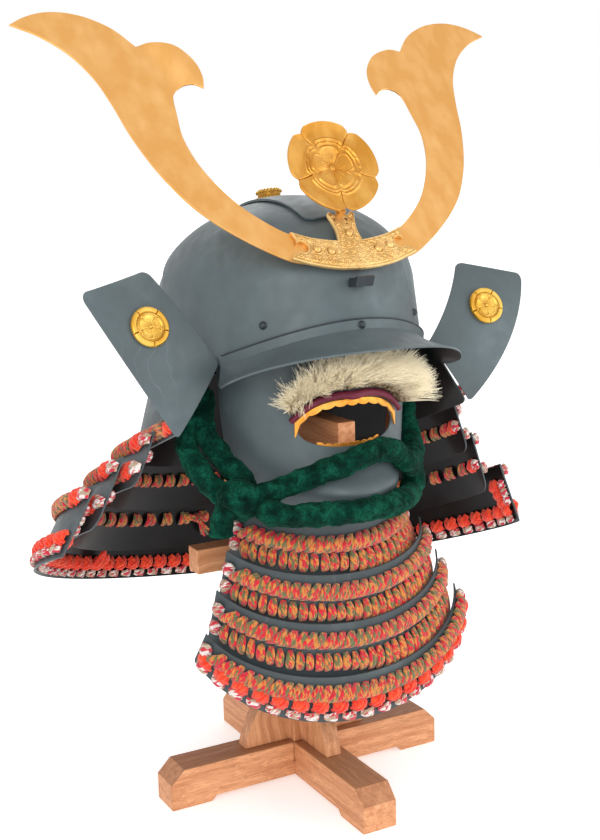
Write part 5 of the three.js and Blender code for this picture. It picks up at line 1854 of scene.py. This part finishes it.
class KABUTO_OT_moustache(bpy.types.Operator):
    """Grow the moustache's bristles from their backing over the lip"""

    bl_idname = "kabuto.moustache"
    bl_label = "Grow Moustache"

    def execute(self, context):
        chooser = random.Random(5)
        form = Form()
        backing = [arch_point(t, 6.0, 9.0) for t in (mix(-1, 1, k / 40) for k in range(41))]
        form.tube(backing, 2.6, 10, mark=0.0)
        for k in range(context.scene.kabuto_sizes.bristles):
            if k % CLUMP == 0:
                near = chooser.uniform(-1, 1)
                clump = Vector([chooser.gauss(0, 0.2) for _ in range(3)])
                core = None
            t = min(max(near + chooser.uniform(-0.04, 0.04), -1), 1)
            root = arch_point(t, 6 + chooser.uniform(-2.2, 2.4), 9.5 + chooser.uniform(-4.5, 4.5))
            core = core or root
            lean = Vector((26 * t, -33 - 6 * t * t, 30 - 9 * t * t)).normalized()
            lean += clump + Vector([chooser.gauss(0, 0.05) for _ in range(3)])
            lean.normalize()
            length = BRISTLE_LENGTH * chooser.uniform(0.72, 1.0) * (1 - 0.12 * t * t)
            sag = Vector((2.5 * t, 0, -3.0)) * chooser.uniform(0.2, 1.2)
            path = [root + lean * length * s + sag * s * s + (core - root) * 0.65 * s
                    for s in (-0.03, 0.33, 0.68, 1.0)]
            form.tube(path, lambda s: mix(BRISTLE_ROOT, BRISTLE_TIP, s), 3, mark=lambda s: s)
        make_piece("bristle_moustache", form, ("bristle_finish",), ("moustache",),
                   sharp=180)
        return {"FINISHED"}


class KABUTO_OT_cord(bpy.types.Operator):
    """Wind the velvet chin cord, with its knot and folds"""

    bl_idname = "kabuto.cord"
    bl_label = "Wind Chin Cord"

    def execute(self, context):
        form = Form()
        for number, points in enumerate(CORD_STRANDS):
            length = sum(math.dist(a, b) for a, b in zip(points, points[1:]))

            def folds(centre, out, r, number=number):
                p = centre + out * r
                return r * 0.97 + rough(p, 12, number) * 2.2 + rough(p, 5, number + 9) * 1.3

            form.tube([Vector(p) for p in points], lambda s: CORD_RADIUS * (
                0.35 + 0.65 * smooth(-0.02, 0.04, min(s, 1 - s))), 36, round(length / 1.5),
                bend=folds)
        for turn, tilt, reach, size in CORD_LOOPS:
            frame_of = (Matrix.Translation(CORD_KNOT) @ Matrix.Rotation(turn, 4, "Y")
                        @ Matrix.Rotation(tilt, 4, "X"))
            loop = [frame_of @ Vector((reach * math.cos(a), reach * math.sin(a),
                                       2.5 * math.sin(2 * a))) for a in arc_angles(0, 360, 60)]

            def creases(centre, out, r, turn=turn):
                return r + rough(centre + out * r, 8, turn * 9) * 1.4

            form.tube(loop, size, 24, bend=creases)
        make_piece("velvet_cord", form, ("velvet_finish",), ("chin_cord",),
                   sharp=180)
        return {"FINISHED"}


# ---------------------------------------------------------------------------------------
# The stand and the stage


class KABUTO_OT_stand(bpy.types.Operator):
    """Finish the wooden stand, its grain along each piece"""

    bl_idname = "kabuto.stand"
    bl_label = "Finish Stand"

    def execute(self, context):
        for number, (name, axes) in enumerate(GRAIN.items()):
            mesh = packed_mesh(name)
            places = np.empty(len(mesh.vertices) * 3)
            mesh.vertices.foreach_get("co", places)
            places = places.reshape(-1, 3)[:, axes] * 1000 + (number * 311, number * 47, 9)
            mesh.attributes["local"].data.foreach_set("vector",
                                                      places.astype(np.float32).ravel())
            finish_piece(name + "_wood", mesh, ("wood_finish",), (name,), 0.9, 30)
        return {"FINISHED"}


class KABUTO_OT_stage(bpy.types.Operator):
    """Set the pale floor, the soft lights and the camera"""

    bl_idname = "kabuto.stage"
    bl_label = "Set Stage"

    def execute(self, context):
        scene = context.scene
        mesh = bpy.data.meshes.new("floor")
        mesh.from_pydata([(x * FLOOR_REACH, y * FLOOR_REACH, 0)
                          for x, y in ((-1, -1), (1, -1), (1, 1), (-1, 1))], [], [(0, 1, 2, 3)])
        brush, shader, where = new_finish("floor_finish", Roughness=0.8, Emission_Strength=0.4,
                                          Emission_Color=(1, 1, 1, 1))
        tone = brush.noise(where, 3.0, 2.0)
        wire(brush, shader, Base_Color=brush.blend(brush.remap(tone, 0.3, 0.7),
                                                   (0.86, 0.86, 0.86, 1), (0.9, 0.9, 0.9, 1)))
        mesh.materials.append(bpy.data.materials["floor_finish"])
        linked("floor", mesh)
        middle = placed((0, 0, 350))
        for name, place, size, power in LIGHTS:
            light = bpy.data.lights.new(name, "AREA")
            light.shape, light.size, light.energy = "DISK", size, power
            lamp = linked(name, light)
            lamp.location = placed(place)
            lamp.rotation_mode = "QUATERNION"
            lamp.rotation_quaternion = (middle - lamp.location).to_track_quat("-Z", "Y")
        world = bpy.data.worlds.new("studio")
        world.use_nodes = True
        background = world.node_tree.nodes["Background"]
        background.inputs["Color"].default_value = (1, 1, 1, 1)
        background.inputs["Strength"].default_value = 1.0
        scene.world = world
        camera = linked("camera", bpy.data.cameras.new("camera"))
        camera.data.lens = context.scene.kabuto_sizes.lens
        camera.matrix_world = (Matrix.Translation(placed(CAMERA_PLACE))
                               @ Matrix.Rotation(-CAMERA_TURN, 4, "Z")
                               @ Matrix.Rotation(math.pi / 2 - CAMERA_DIP, 4, "X")
                               @ Matrix.Rotation(CAMERA_ROLL, 4, "Z"))
        scene.camera = camera
        scene.view_settings.view_transform = "Standard"
        return {"FINISHED"}


class KABUTO_PT_panel(bpy.types.Panel):
    """Sizes, colours and the steps in order"""

    bl_idname = "KABUTO_PT_panel"
    bl_label = "Kabuto"
    bl_space_type = "VIEW_3D"
    bl_region_type = "UI"
    bl_category = "Kabuto"

    def draw(self, context):
        for group in (context.scene.kabuto_colours, context.scene.kabuto_sizes):
            box = self.layout.box()
            for key in group.__annotations__:
                box.prop(group, key)
        for step in STEPS:
            self.layout.operator(step.bl_idname)


STEPS = (KABUTO_OT_stage, KABUTO_OT_finishes, KABUTO_OT_bowl, KABUTO_OT_horns,
         KABUTO_OT_crest_plate, KABUTO_OT_rosettes, KABUTO_OT_ears, KABUTO_OT_plates,
         KABUTO_OT_neck_lacing, KABUTO_OT_throat_lacing, KABUTO_OT_mask,
         KABUTO_OT_moustache, KABUTO_OT_cord, KABUTO_OT_stand)
CLASSES = (KabutoColours, KabutoSizes, *STEPS, KABUTO_PT_panel)


def register():
    """Registers the classes and the settings on the scene."""
    for item in CLASSES:
        bpy.utils.register_class(item)
    bpy.types.Scene.kabuto_colours = PointerProperty(type=KabutoColours)
    bpy.types.Scene.kabuto_sizes = PointerProperty(type=KabutoSizes)


def unregister():
    """Removes what register added."""
    del bpy.types.Scene.kabuto_sizes
    del bpy.types.Scene.kabuto_colours
    for item in reversed(CLASSES):
        bpy.utils.unregister_class(item)


def main():
    """Registers the add-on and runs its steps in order."""
    register()
    for step in STEPS:
        group, name = step.bl_idname.split(".")
        getattr(getattr(bpy.ops, group), name)()


if __name__ == "__main__":
    main()
